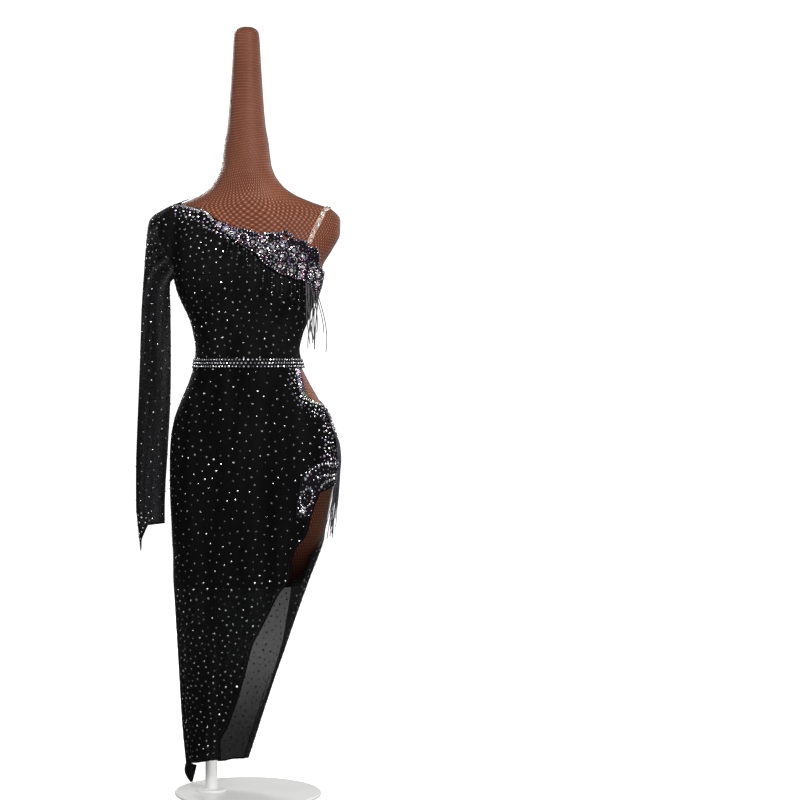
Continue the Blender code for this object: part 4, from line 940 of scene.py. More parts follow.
class Nodes:
    """Short names for adding and linking a material's nodes."""

    def __init__(self, name):
        self.material = bpy.data.materials.new(name)
        self.material.use_nodes = True
        self.tree = self.material.node_tree
        self.shader = self.tree.nodes["Principled BSDF"]

    def add(self, kind, **inputs):
        node = self.tree.nodes.new("ShaderNode" + kind)
        for key, value in inputs.items():
            if key in ("operation", "noise_dimensions", "attribute_name", "feature"):
                setattr(node, key, value)
            else:
                self.put(node.inputs[int(key[1:]) if key[0] == "i" and key[1:].isdigit() else key], value)
        return node

    def put(self, socket, value):
        if isinstance(value, bpy.types.NodeSocket):
            self.tree.links.new(value, socket)
        else:
            socket.default_value = value

    def math(self, operation, *values):
        node = self.tree.nodes.new("ShaderNodeMath")
        node.operation = operation
        for socket, value in zip(node.inputs, values):
            self.put(socket, value)
        return node.outputs[0]

    def times(self, value, factor):
        return self.math("MULTIPLY", value, factor)

    def scaled(self, value, factor, base):
        """The base, and value times factor on top of it."""
        return self.math("MULTIPLY_ADD", value, factor, base)

    def between(self, value, start, end, low, high):
        """low before start and high after end, with a smooth step between them."""
        node = self.tree.nodes.new("ShaderNodeMapRange")
        node.interpolation_type = "SMOOTHSTEP"
        for socket, number in zip(node.inputs, (value, start, end, low, high)):
            self.put(socket, number)
        return node.outputs[0]

    def wave(self, at, period):
        """0 to 1 and back, once for each period along a length."""
        return self.scaled(self.math("SINE", self.times(at, math.tau / period)), 0.5, 0.5)

    def noise(self, where, scale, detail=3.0):
        return self.add("TexNoise", i0=where, Scale=scale, Detail=detail).outputs["Fac"]

    def where(self):
        """The shaded point, in metres."""
        return self.add("TexCoord").outputs["Object"]

    def place(self):
        """Its X, Y and height."""
        return self.add("SeparateXYZ", i0=self.where()).outputs

    def uv(self):
        """Lengths across and up the cloth."""
        return self.add("SeparateXYZ", i0=self.add("TexCoord").outputs["UV"]).outputs[:2]

    def tint(self):
        """The colour that add_tint gave to the mesh."""
        return self.add("Attribute", attribute_name="tint").outputs["Color"]

    def toned(self, colour, factor):
        return self.add("VectorMath", operation="SCALE", i0=colour, Scale=factor).outputs[0]

    def ramp(self, factor, stops):
        node = self.add("ValToRGB", i0=factor)
        while len(node.color_ramp.elements) < len(stops):
            node.color_ramp.elements.new(0.5)
        for element, (position, colour) in zip(node.color_ramp.elements, stops):
            element.position = position
            element.color = (*colour, 1.0)
        return node.outputs["Color"]

    def shades(self, factor, colour, low, high):
        """From low to high times a colour; low and high each give a position and a share."""
        stops = [(at, [min(1.0, c * share) for c in colour]) for at, share in (low, high)]
        return self.ramp(factor, stops)

    def bump(self, height, distance, strength):
        node = self.add("Bump", Strength=strength, Distance=distance, Height=height)
        self.set(Normal=node.outputs["Normal"])

    def set(self, **values):
        """Sets or links the shader's inputs, and gives the finished material."""
        for key, value in values.items():
            self.put(self.shader.inputs[key.replace("_", " ")], value)
        return self.material


def mesh_cloth(name, colour, opacity=None, streaks=9.0):
    """Fine power mesh: knitted cells, a soft sheen, and light that passes between the threads.
    opacity is a function that makes the alpha of the material's nodes. streaks is how often the painted
    fold shade changes along the cloth's length; it changes more often across."""
    nodes = Nodes(name)
    u, v = nodes.uv()
    slant = nodes.times(v, 0.6)
    left = nodes.wave(nodes.math("ADD", u, slant), KNIT_CELL)
    right = nodes.wave(nodes.math("SUBTRACT", u, slant), KNIT_CELL)
    knit = nodes.math("MAXIMUM", left, right)
    where = nodes.where()
    stretched = nodes.add("VectorMath", operation="MULTIPLY", i0=where, i1=(30.0, 30.0, streaks)).outputs[0]
    fibre, patch = nodes.noise(where, 260.0), nodes.noise(stretched, 1.0)
    nodes.bump(nodes.scaled(fibre, 0.35, knit), 0.0002, 0.4)
    # The tone comes from the knit's cells and from soft streaks of painted shade that stand for the light
    # and dark of hanging folds.
    shade = nodes.scaled(knit, 0.15, nodes.times(patch, 0.85))
    if opacity:
        nodes.set(Alpha=opacity(nodes))
    nodes.set(Sheen_Weight=0.016, Sheen_Roughness=0.45, Sheen_Tint=(0.55, 0.55, 0.62, 1.0))
    tone = nodes.shades(shade, colour, (0.28, 0.30), (0.72, 2.0))
    return nodes.set(Base_Color=tone, Roughness=nodes.scaled(fibre, 0.15, 0.72), Specular_IOR_Level=0.04)


def skirt_opacity(nodes):
    """The front panel is closely knitted and hangs in folds, so little light passes."""
    return nodes.between(nodes.place()[2], 0.085, 0.30, 0.93, 0.86)


def wrap_opacity(nodes):
    """Sheer below the form, closer in its threads at the hem, and fading out over the bare thigh."""
    x, y, height = nodes.place()
    hem = nodes.between(height, 0.085, 0.30, 0.90, 0.788)
    thigh = nodes.times(nodes.between(x, 0.060, 0.080, 0.0, 1.0), nodes.between(y, 0.0, 0.05, 1.0, 0.0))
    side = nodes.math("SUBTRACT", x, nodes.times(height, THIGH_SLANT))
    thigh = nodes.times(thigh, nodes.between(side, THIGH_SIDE - 0.012, THIGH_SIDE, 1.0, 0.0))
    thigh = nodes.times(thigh, nodes.between(height, WINDOW_FOOT, 0.46, 0.0, 1.0))
    return nodes.scaled(thigh, WINDOW_OPACITY, hem)


def sleeve_opacity(nodes):
    """Sheer, with soft lengthwise bands where the cloth is stretched less."""
    u, v = nodes.uv()
    stretched = nodes.add("CombineXYZ", i0=nodes.times(u, 55.0), i1=nodes.times(v, 2.2)).outputs[0]
    band = nodes.add("TexNoise", noise_dimensions="2D", Vector=stretched, Scale=1.0, Detail=2.0)
    return nodes.scaled(band.outputs["Fac"], -0.62, 1.04)


def net_form(name):
    """A painted shell under a stretched fishnet: short pale glossy knots in rows on brown, partly painted
    highlight, with painted shade that darkens the thigh and the form's lower end.
    """
    nodes = Nodes(name)
    u, v = nodes.uv()
    where = nodes.where()
    u = nodes.scaled(nodes.noise(where, 9.0, 2.0), 3.4, u)
    v = nodes.scaled(nodes.noise(where, 6.0, 1.0), 5.0, v)
    across = nodes.math("COSINE", nodes.times(u, math.tau))
    up = nodes.math("COSINE", nodes.times(v, math.tau))
    level = nodes.math("COSINE", nodes.times(v, 2 * math.tau))
    knot = nodes.times(across, up)
    row = nodes.between(level, -0.1, 0.9, 0.0, 1.0)
    hole = nodes.times(nodes.between(knot, -1.0, -0.05, 1.0, 0.0), row)
    # shine marks the knots: their pale colour is partly the thread's own and partly a painted highlight,
    # and they are also less rough.
    shine = nodes.times(nodes.between(knot, 0.10, 0.85, 0.0, 1.0), row)
    thread = nodes.math("SUBTRACT", shine, hole)
    patch, grain = nodes.noise(where, 7.0), nodes.noise(where, 300.0, 2.0)
    tone = nodes.scaled(thread, 0.42, nodes.scaled(patch, 0.44, 0.24))
    stops = (
        (0.06, (0.050, 0.010, 0.005)),
        (0.42, (0.150, 0.039, 0.017)),
        (0.60, (0.222, 0.068, 0.033)),
        (0.94, (0.520, 0.250, 0.150)),
    )
    height = nodes.place()[2]
    # Painted shade: the colour and the gloss get darker down the thigh and towards the form's lower end,
    # for the shade that falls there under the skirt.
    thigh = nodes.between(height, 0.600, 0.720, 0.36, 1.0)
    end = nodes.times(nodes.between(height, 0.440, 0.570, 0.08, 1.0), thigh)
    nodes.bump(nodes.scaled(grain, 0.10, thread), 0.0008, 0.7)
    colour = nodes.toned(nodes.ramp(tone, stops), end)
    nodes.set(Base_Color=colour, Roughness=nodes.scaled(shine, -0.16, 0.52))
    return nodes.set(Specular_IOR_Level=nodes.times(end, 0.24), Sheen_Weight=0.01, Sheen_Roughness=0.4)


def crystal(name):
    """Foil-backed cut glass: the tint is the stone's own colour, with its painted glint or dimness on it.
    """
    nodes = Nodes(name)
    nodes.set(Base_Color=nodes.tint(), Metallic=0.85, Roughness=0.12)
    return nodes.set(Coat_Weight=0.8, Coat_Roughness=0.03)


def woven(name, colour, period, roughness, bump, sheen=0.1, gloss=0.3):
    """Plain woven tape or cord: threads crossing over and under."""
    nodes = Nodes(name)
    u, v = nodes.uv()
    weave = nodes.times(nodes.wave(u, period), nodes.wave(v, period))
    patch = nodes.noise(nodes.where(), 60.0)
    shade = nodes.scaled(weave, 0.4, nodes.times(patch, 0.6))
    nodes.bump(weave, bump, 0.7)
    nodes.set(Sheen_Weight=sheen, Sheen_Roughness=0.4, Specular_IOR_Level=gloss)
    tone = nodes.shades(shade, colour, (0.1, 0.7), (0.9, 1.25))
    return nodes.set(Base_Color=tone, Roughness=nodes.scaled(patch, 0.2, roughness - 0.1))


def lace(name):
    """Dense black lace ground: a fine net with thicker threads."""
    nodes = Nodes(name)
    u, v = nodes.uv()
    flat = nodes.add("TexCoord").outputs["UV"]
    cells = nodes.add("TexVoronoi", i0=flat, Scale=420.0, feature="DISTANCE_TO_EDGE")
    edge = nodes.math("SUBTRACT", 1.0, nodes.times(cells.outputs["Distance"], 3.0))
    height = nodes.scaled(nodes.wave(nodes.math("ADD", u, v), LACE_RIB), 0.3, edge)
    stops = ((0.2, (0.0022, 0.0018, 0.0024)), (0.9, (0.0085, 0.0068, 0.0090)))
    nodes.bump(height, 0.0003, 0.6)
    nodes.set(Base_Color=nodes.ramp(height, stops), Roughness=0.75)
    return nodes.set(Specular_IOR_Level=0.05, Sheen_Weight=0.01, Sheen_Roughness=0.4)


def plain(name, colour, roughness, metallic=0.0, grain=0.0, scale=400.0, coat=0.0):
    """A smooth finish with fine grain in its gloss and relief."""
    nodes = Nodes(name)
    where = nodes.where()
    fine, broad = nodes.noise(where, scale), nodes.noise(where, 6.0, 2.0)
    if grain:
        nodes.bump(fine, grain, 0.5)
    tone = nodes.shades(broad, colour, (0.3, 0.93), (0.7, 1.04))
    nodes.set(Base_Color=tone, Roughness=nodes.scaled(fine, 0.12, roughness - 0.06))
    return nodes.set(Metallic=metallic, Coat_Weight=coat)


def strand_thread(name):
    """Twisted satin thread in each strand's own shade."""
    nodes = Nodes(name)
    u, v = nodes.uv()
    twist = nodes.wave(nodes.math("ADD", u, nodes.times(v, 0.5)), STRAND_TWIST)
    nodes.bump(twist, 0.0002, 0.6)
    colour = nodes.toned(nodes.tint(), nodes.scaled(twist, 0.5, 0.75))
    return nodes.set(Base_Color=colour, Roughness=0.38, Specular_IOR_Level=0.35)


def make_materials():
    return {
        "body": mesh_cloth("black_mesh", (0.0040, 0.0038, 0.0041)),
        "skirt": mesh_cloth("black_skirt_mesh", (0.0032, 0.0030, 0.0032), skirt_opacity, 2.5),
        "wrap": mesh_cloth("black_wrap_mesh", (0.0034, 0.0032, 0.0035), wrap_opacity, 2.5),
        "sleeve": mesh_cloth("sheer_black_mesh", (0.0046, 0.0046, 0.0052), sleeve_opacity, 2.5),
        "form": net_form("net_covered_form"),
        "form_seam": plain("form_seam", (0.10, 0.030, 0.016), 0.5),
        "crystal": crystal("crystals"),
        "binding": woven("black_binding", (0.0030, 0.0030, 0.0034), 0.0010, 0.80, 0.0001, 0.005, 0.03),
        "thread": plain("black_thread", (0.008, 0.008, 0.009), 0.6),
        "lace": lace("black_lace"),
        "belt": woven("black_belt_tape", (0.004, 0.004, 0.005), 0.0014, 0.70, 0.0001, 0.005, 0.05),
        "nude": woven("nude_tape", (0.66, 0.42, 0.31), 0.0012, 0.50, 0.0002),
        "strand": strand_thread("fringe_strand"),
        "metal": plain("bright_metal", (0.78, 0.62, 0.46), 0.22, metallic=1.0),
        "paint": plain("white_paint", (0.82, 0.82, 0.81), 0.35, grain=0.0001, scale=700.0, coat=0.2),
    }


# Cloth panels


def panel(body, start, end, low, high, size, creases):
    """A patch between two edges that are angles at a height and two that are heights at a share
    of the way across."""
    rows, columns = size
    across = np.linspace(0, 1, columns)
    level = np.linspace(0, 1, rows)[:, None]
    height = mix(low(across)[None], high(across)[None], level)
    angle = mix(start(height), end(height), across[None])
    return Grid(lifted(body, angle, height, CLOTH_LIFT, creases))


def constant(value):
    return lambda x: np.full(np.shape(x), float(value))


def heights_through(rows):
    """Heights at a share of the way across, on lines through the rows."""
    return tabulated(lambda across: line_between(rows, across), 0, 1)


def front_bodice_grid():
    start = tabulated(lambda z: armhole_angle(z) + SEAM_ANGLE, *BODICE_RANGE)
    end = lambda z: mix(*SIDE_ANGLES, smoothstep((z - WAIST) / SIDE_TURN))
    top = [(0.0, ridge_height(NECKLINE[0][0])), (1.0, SIDE_TOP)]
    for angle, z in on_form(NECKLINE[1:]):
        top.append(((angle - start(z)) / (end(z) - start(z)), z))
    low, high = constant(WAIST + SEAM / 2), heights_through(top)
    return panel(FORM, start, end, low, high, FRONT_BODICE_GRID, FRONT_CREASES)


def back_bodice_grid():
    edge = [(z, x) for x, z in OPEN_BACK]

    def start(z):
        open_edge = float(angle_at(FORM, smooth_between(edge, z, 1), z, back=True))
        return min(open_edge, armhole_angle(z, back=True) - STRIP_LEAST)

    start_at = tabulated(start, *BODICE_RANGE)
    end_at = tabulated(lambda z: armhole_angle(z, back=True) - SEAM_ANGLE, *BODICE_RANGE)
    low, high = constant(WAIST + SEAM / 2), constant(ridge_height(OPEN_BACK[-1][0]))
    return panel(FORM, start_at, end_at, low, high, BACK_BODICE_GRID, FRONT_CREASES)


def slit_angle(z):
    side = 90.0 - SEAM_ANGLE
    if z >= SIDE_CUT_OUT:
        edge = [(SIDE_CUT_OUT, SIDE_CUT_OUT_X)] + sorted((height, x) for x, height in HIP_CUT_OUT)
        return min(side, float(angle_at(SKIRT, line_between(edge, z), z)))
    if z >= SLIT_TOP:
        return side
    edge = sorted((height, x) for x, height in SLIT_EDGE)
    if z >= edge[-1][0]:
        corner = float(angle_at(SKIRT, edge[-1][1], edge[-1][0]))
        return mix(corner, side, (z - edge[-1][0]) / (SLIT_TOP - edge[-1][0]))
    return float(angle_at(SKIRT, smooth_between(edge, z, 1), z))


def front_skirt_grid():
    start, end = constant(-90.0 + SEAM_ANGLE), tabulated(slit_angle, *SKIRT_RANGE)
    low, high = heights_through(FRONT_HEM), constant(WAIST - SEAM / 2)
    return panel(SKIRT, start, end, low, high, FRONT_SKIRT_GRID, SKIRT_CREASES)


def back_skirt_grid():
    waist = WAIST - SEAM / 2
    dip = [((float(angle_at(SKIRT, x, z, back=True)) - 90) / 180, z) for x, z in BACK_DIP]
    dip = [(0.0, SIDE_CUT_OUT)] + dip + [(BACK_DIP_END, waist), (1.0, waist)]
    start = tabulated(lambda z: smooth_between(WRAP_EDGE, z, 1) + SEAM_ANGLE, *SKIRT_RANGE)
    end = constant(270.0 - SEAM_ANGLE)
    low, high = heights_through(BACK_HEM), heights_through(dip)
    return panel(SKIRT, start, end, low, high, BACK_SKIRT_GRID, SKIRT_CREASES)


def sleeve_grid():
    """From the cuff up to the armhole, as the CAD's rings with smooth curves between them."""
    rows, columns = SLEEVE_GRID
    last = len(SLEEVE_RINGS) - 1
    turn = 360.0 * np.arange(columns) / columns
    c, s = np.cos(np.radians(turn)), np.sin(np.radians(turn))
    table = sorted((last - k, *ring) for k, ring in enumerate(SLEEVE_RINGS))
    at = np.linspace(0, last, rows)[:, None]
    rings = (smooth_curve(table, column)(at) for column in range(1, 7))
    inner_x, inner_z, outer_x, outer_z, front, back = rings
    share = ((1 + c) / 2)[None]
    x, height = mix(inner_x, outer_x, share), mix(inner_z, outer_z, share)
    depth = sum(deep * bell(turn - where, half) for where, deep, half in SLEEVE_FOLDS)[None]
    depth = depth * smoothstep((SLEEVE_FOLD_TOP - height) / SLEEVE_FOLD_FADE)
    for level, where, half, tall, deep in SLEEVE_CREASES:
        across = (height - level) / tall
        trough = (CREASE_DIP - CREASE_RIDGE * across**2) * np.exp(-(across**2))
        depth = depth + deep * bell(turn[None] - where, half) * trough
    reach = np.where(s > 0, front, back) - depth
    point = np.maximum(0.0, 1 - (np.minimum(turn, 360 - turn) / CUFF_POINT_HALF) ** CUFF_POINT_CURVE)[None]
    cuff = np.clip(1 - at, 0, 1) ** CUFF_RISE
    x = x + CUFF_POINT_IN * smoothstep(2 * point - 1) * cuff
    height = height - CUFF_POINT_DROP * point * cuff
    rings = np.stack([x, SLEEVE_MIDDLE - reach * s[None], height], -1)
    f = (1 + np.cos(math.tau * np.arange(columns) / columns)) / 2
    heights = mix(ARMPIT, ARMHOLE_TOP, f)
    angles = [armhole_angle(z, back=k > columns // 2) for k, z in enumerate(heights)]
    ring = lifted(FORM, np.array(angles), heights, CLOTH_LIFT) - np.array([SEAM, 0, 0])
    share = smoothstep(np.linspace(0, 1, SLEEVE_JOINT_ROWS + 1)[1:])[:, None, None]
    return Grid(np.concatenate([rings, mix(rings[-1][None], ring[None], share)]), wrap=True)


def form_grid():
    bands = [np.linspace(*band)[:-1] for band in FORM_BANDS]
    heights = np.concatenate(bands + [[FORM_BANDS[-1][1]]])
    angle = np.linspace(0, 360, FORM_SIDES + 1)[:-1]
    return Grid(surface(FORM, 180 + angle[None], heights[:, None]), wrap=True)


def form(materials):
    """The shell with its net: the net's threads close up where the body narrows."""
    grid = form_grid()
    rows, columns = grid.points.shape[:2]
    r, c = grid_faces(rows, columns, True)
    index = r * columns + c % columns
    top = (rows - 1) * columns + np.arange(columns)
    faces = [tuple(f) for f in index] + [tuple(range(columns))[::-1], tuple(top)]
    u = c * NET_CELLS / columns
    v = grid.points[r, 0, 2] / NET_TALL
    uv = [pair for quad in np.stack([u, v], -1) for pair in quad] + [(0.0, 0.0)] * (2 * columns)
    piece = add_mesh("form_shell", grid.points.reshape(-1, 3), faces, materials["form"], uv)
    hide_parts("form")
    seam = [lifted(FORM, 180.0, np.linspace(*FORM_SEAM, FORM_SEAM_POINTS), FORM_SEAM_LIFT)]
    tubes("form_seam", seam, FORM_SEAM_RADIUS, materials["form_seam"])


def rolled_edge(name, grid, side, materials, size=EDGE):
    """A narrow binding folded over one edge of a panel."""
    width, tall = size
    rows, columns = inset_line(grid, side, EDGE_INSET)
    if grid.wrap:
        columns = np.append(columns, columns[-1] + 1.0)
        rows = np.append(rows, rows[0])
    place, out, _ = grid.at(rows, columns)
    line = place - out * CLOTH_WALL / 2
    tubes(name, [line], width, materials["binding"], sides=8, flat=[(out, tall)])


def stitches(name, grid, edges, materials):
    """Short thread stitches beside a panel's edges."""
    runs = []
    for side, inset in edges:
        place, out, _ = grid.at(*spaced(grid, inset_line(grid, side, inset), STITCH_SPACING))
        along = unit(np.gradient(place, axis=0))
        for p, a, o in zip(place, along, out):
            half, sink = a * STITCH_LENGTH / 2, o * STITCH_SINK
            runs.append([p - half - sink, p + o * STITCH_RISE, p + half - sink])
    tubes(name, runs, STITCH_RADIUS, materials["thread"], sides=4)


def edge_rows(stones, grid, side, rows, tints, painted_gleam=SPARKLING, ends=(0.0, 0.0)):
    insets, spacing, radius = rows
    for k, inset in enumerate(insets):
        places = spaced(grid, inset_line(grid, side, inset), spacing, 0.25 + 0.5 * (k % 2), ends)
        stones.add(grid, places, radius, tints, painted_gleam, 0.15)


def patch(body, angle, height, right, up):
    """Angles and heights of places on a body, this far right of and above one place."""
    steep = np.linalg.norm(surface(body, angle, height + STEP) - surface(body, angle, height - STEP))
    heights = height + up * 2 * STEP / steep
    turned = surface(body, angle + 0.5, heights) - surface(body, angle - 0.5, heights)
    return angle + right / np.linalg.norm(turned, axis=-1), heights


def through(stations, count):
    """Angles and heights, this many, on a smooth curve through stations."""
    rows = [(k, *station) for k, station in enumerate(stations)]
    at = np.linspace(0, len(rows) - 1, count)
    return smooth_curve(rows, 1)(at), smooth_curve(rows, 2)(at)


def along_body(body, stations, spacing):
    """The same on a body, this far apart."""
    angle, height = through(stations, ARC_SAMPLES)
    steps = np.linalg.norm(np.diff(surface(body, angle, height), axis=0), axis=-1)
    length = np.concatenate([[0], np.cumsum(steps)])
    at = (np.arange(max(1, int(length[-1] / spacing))) + 0.5) * spacing
    return np.interp(at, length, angle), np.interp(at, length, height)


def applique_ring(stones, cords, body, angle, height, radius, tints, small, centre=0.0, tall=1.0):
    """A ring or an oval of crystals on a corded loop, open or round a larger crystal."""

    def around(turn):
        return patch(body, angle, height, radius * np.sin(turn), radius * tall * np.cos(turn))

    count = max(RING_LEAST, round(math.tau * radius * (1 + tall) / 2 / (RING_SPACING * small)))
    turn = (np.arange(count) + stones.random.random()) * math.tau / count
    stones.add_on(body, *around(turn), RING_LIFT, small, tints, SPARKLING)
    cords.append(lifted(body, *around(np.linspace(0, math.tau, LOOP_POINTS)), CORD_LIFT))
    if centre:
        place = np.array([angle]), np.array([height])
        stones.add_on(body, *place, CENTRE_LIFT, centre, CLEAR_TINTS, BRIGHT, 0.08, 0.05)


def neck_edge(angle, column):
    height = NECK_APPLIQUE[len(NECK_APPLIQUE) // 2][column]
    for _ in range(6):
        height = smooth_between(NECK_APPLIQUE, float(surface(FORM, angle, height)[0]), column)
    return height


def neck_applique_grid():
    rows, columns = NECK_GRID
    ends = [(x, (top + bottom) / 2) for x, top, bottom in (NECK_APPLIQUE[0], NECK_APPLIQUE[-1])]
    (first, _), (last, _) = on_form(ends)
    f = np.linspace(0, 1, columns)
    angle = mix(first, last, f)
    scallop = SCALLOP * np.abs(np.sin(np.pi * NECK_SCALLOPS * f)) * np.minimum(1.0, 4 * f)
    bottom = np.array([neck_edge(a, 2) for a in angle]) - scallop
    top = np.array([neck_edge(a, 1) for a in angle]) + scallop
    height = mix(bottom[None], top[None], np.linspace(0, 1, rows)[:, None])
    return Grid(lifted(FORM, angle[None], height, APPLIQUE_LIFT))


def hip_applique_grid():
    rows, columns = HIP_GRID
    first, last = smooth_curve(HIP_APPLIQUE, 1), smooth_curve(HIP_APPLIQUE, 2)
    height = np.linspace(HIP_APPLIQUE[0][0], HIP_APPLIQUE[-1][0], rows)[:, None]
    angle = mix(first(height), last(height), np.linspace(0, 1, columns)[None])
    return Grid(lifted(SKIRT, angle, height, APPLIQUE_LIFT))


def ribbon_grid(stations, width):
    """A flat band that follows the form through angles and heights."""
    angle, height = through(stations, STRAP_ROWS_EACH * len(stations))
    path = lifted(FORM, angle, height, STRAP_LIFT)
    out = outward(FORM, angle, height)
    across = unit(np.cross(unit(np.gradient(path, axis=0)), out))
    share = np.linspace(-0.5, 0.5, STRAP_COLUMNS)[None, :, None]
    crown = STRAP_CROWN * (1 - (2 * share) ** 2)
    return Grid(path[:, None] + across[:, None] * share * width + out[:, None] * crown)


# Groups of pieces


def bodice(materials):
    front, back = front_bodice_grid(), back_bodice_grid()
    pieces = {
        "front": shell("front_bodice_cloth", front, CLOTH_WALL, materials["body"]),
        "back": shell("back_bodice_cloth", back, CLOTH_WALL, materials["body"]),
    }
    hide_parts("front_bodice")
    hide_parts("back_bodice")
    rolled_edge("neckline_binding", front, "top", materials)
    rolled_edge("side_binding", front, "right", materials)
    rolled_edge("open_back_binding", back, "left", materials, OPEN_BACK_EDGE)
    stitches("bodice_stitches", front, BODICE_STITCHES, materials)
    stones, ends = Stones(11), (0, NECKLINE_ROWS_END)
    edge_rows(stones, front, "top", NECKLINE_EDGE_ROWS, GREEN_TINTS, ends=ends)
    edge_rows(stones, front, "top", NECKLINE_ROWS, VIOLET_TINTS + CLEAR_TINTS, ends=ends)
    neckline = front.points[-1]
    neckline = neckline[neckline[:, 0] < NECKLINE_CLUSTER_END]
    beside = lambda place: distance_to(neckline, place) < NECKLINE_CLUSTER_WIDTH
    stones.fill(front, NECKLINE_ZONE, beside, CLEAR_TINTS + VIOLET_TINTS[:2], SPARKLING, 0.25)
    places = stones.near_edge(front, neckline, BODICE_FADE, BODICE_GAPS, lambda place: ~beside(place))
    stones.add(front, places, BODICE_STONE, CLEAR_TINTS, SCATTERED, *LOOSE)
    stones.make("front_bodice_crystals", materials)
    stones = Stones(12)
    edge_rows(stones, back, "left", OPEN_BACK_ROWS, VIOLET_TINTS)
    stones.fill(back, BACK_STRIP_ZONE, None, CLEAR_TINTS + VIOLET_TINTS, CLOSE_SET)
    stones.make("back_bodice_crystals", materials)
    return pieces


def cut_out_rows(front):
    """The rows of the front skirt whose last point is on the hip cut-out."""
    height = front.points[:, -1, 2]
    return np.flatnonzero((height > SIDE_CUT_OUT - CUT_OUT_END) & (height < WAIST - CUT_OUT_END))


def at_side(place):
    """The side of the hip, where bright crystals gather from the cut-out down to the slit."""
    low, high = place[:, 2] > SIDE_CLUSTER_FOOT, place[:, 2] < SIDE_CLUSTER_TOP
    return (place[:, 0] > SIDE_CLUSTER_X) & low & high


def side_crystals(grid, stones):
    stones.fill(grid, SIDE_ZONE, at_side, CLEAR_TINTS + VIOLET_TINTS[:2], SIDE_GLEAM, 0.25)


def cluster_edge(front):
    """The front skirt's edge that the close-set crystals gather along, from the waist down the side."""
    height = front.points[:, -1, 2]
    return front.points[(height > CLUSTER_FOOT) & (height < WAIST - CUT_OUT_END), -1]


def skirt(materials):
    front, back = front_skirt_grid(), back_skirt_grid()
    pieces = {
        "front": shell("front_skirt_cloth", front, CLOTH_WALL, materials["skirt"]),
        "back": shell("back_skirt_cloth", back, CLOTH_WALL, materials["wrap"]),
    }
    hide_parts("front_skirt")
    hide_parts("back_skirt")
    rolled_edge("slit_binding", front, "right", materials, NARROW_EDGE)
    rolled_edge("front_hem_binding", front, "bottom", materials)
    rolled_edge("back_hem_binding", back, "bottom", materials)
    rolled_edge("back_dip_binding", back, "top", materials)
    stitches("skirt_stitches", front, FRONT_SKIRT_STITCHES, materials)
    stitches("back_skirt_stitches", back, BACK_SKIRT_STITCHES, materials)
    front_skirt_crystals(front, materials)
    back_skirt_crystals(back, materials)
    return pieces, front


def front_skirt_crystals(grid, materials):
    stones, edge = Stones(21), cluster_edge(grid)
    keep = lambda place: (distance_to(edge, place) >= CUT_OUT_BAND) & ~at_side(place)
    places = stones.near_edge(grid, edge, FRONT_SKIRT_FADE, SKIRT_GAPS, keep)
    high, low = parted(places, grid.at(*places)[0][:, 2] > SHEER_BELOW)
    stones.add(grid, high, SKIRT_STONE, CLEAR_TINTS, SCATTERED, *LOOSE)
    stones.add(grid, low, SHEER_STONE, CLEAR_TINTS, LOW_SKIRT, 0.25, 0.22)
    side_crystals(grid, stones)
    stones.make("front_skirt_crystals", materials)


def back_skirt_crystals(grid, materials):
    stones, dip = Stones(22), grid.points[-1]

    def keep(place):
        """Off the window of bare thigh, and off the side's own crystals."""
        x, y, z = place.T
        return ((z < WINDOW_FOOT) | (y > 0) | (x > THIGH_SLANT * z + THIGH_SIDE)) & ~at_side(place)

    edge_rows(stones, grid, "top", BACK_DIP_ROWS, VIOLET_TINTS + CLEAR_TINTS)
    places = stones.near_edge(grid, dip, BACK_SKIRT_FADE, SKIRT_GAPS, keep)
    near, far = parted(places, distance_to(dip, grid.at(*places)[0]) < BACK_DIP_BAND)
    stones.add(grid, near, BACK_DIP_STONE, CLEAR_TINTS, SPARKLING, *LOOSE)
    stones.add(grid, far, BACK_SKIRT_STONE, CLEAR_TINTS, SCATTERED, *LOOSE)
    side_crystals(grid, stones)
    stones.make("back_skirt_crystals", materials)


def cut_out_crystals(front, materials):
    """The dense band of crystals down the hip cut-out's edge, greenish at its lower end."""
    stones = Stones(31)
    part = cut_out_rows(front)
    insets, spacing, radius = CUT_OUT_ROWS
    for k, inset in enumerate(insets):
        rows, columns = inset_line(front, "right", inset)
        places = spaced(front, (rows[part], columns[part]), spacing, 0.25 + 0.5 * (k % 2))
        low, high = parted(places, front.at(*places)[0][:, 2] < CUT_OUT_GREEN)
        stones.add(front, low, radius, GREEN_TINTS, SPARKLING)
        stones.add(front, high, radius, VIOLET_TINTS, SPARKLING)
    edge = cluster_edge(front)
    beside = lambda place: distance_to(edge, place) < CUT_OUT_BAND
    stones.fill(front, CUT_OUT_ZONE, beside, CLEAR_TINTS + VIOLET_TINTS[:3], SPARKLING, 0.22)
    stones.make("cut_out_crystals", materials)


def sleeve(materials):
    grid = sleeve_grid()
    piece = shell("sleeve_cloth", grid, CLOTH_WALL, materials["sleeve"])
    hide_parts("sleeve")
    rolled_edge("cuff_binding", grid, "bottom", materials, CUFF_EDGE)
    stitches("sleeve_stitches", grid, SLEEVE_STITCHES, materials)
    stones = Stones(41)
    tip = grid.points[0][np.argmin(grid.points[0][:, 2])]
    cap = lambda place: place[:, 2] > SLEEVE_CAP
    cuff = lambda place: (place[:, 2] < tip[2] + CUFF_CLUSTER) & (place[:, 0] < tip[0] + CUFF_CLUSTER_WIDE)
    below = lambda place: ~cap(place) & ~cuff(place)
    stones.fill(grid, SLEEVE_CAP_ZONE, cap, CLEAR_TINTS, SCATTERED, *LOOSE)
    stones.fill(grid, CUFF_ZONE, cuff, CLEAR_TINTS, CLOSE_SET, *LOOSE)
    gap, margin, radius = SLEEVE_ZONE
    places = scattered(grid, gap, stones.random, margin, below)
    front, back = parted(places, grid.at(*places)[0][:, 1] < SLEEVE_MIDDLE)
    stones.add(grid, front, radius, CLEAR_TINTS, DIM, *LOOSE)
    stones.add(grid, back, radius, CLEAR_TINTS, SCATTERED, *LOOSE)
    stones.make("sleeve_crystals", materials)
    return piece


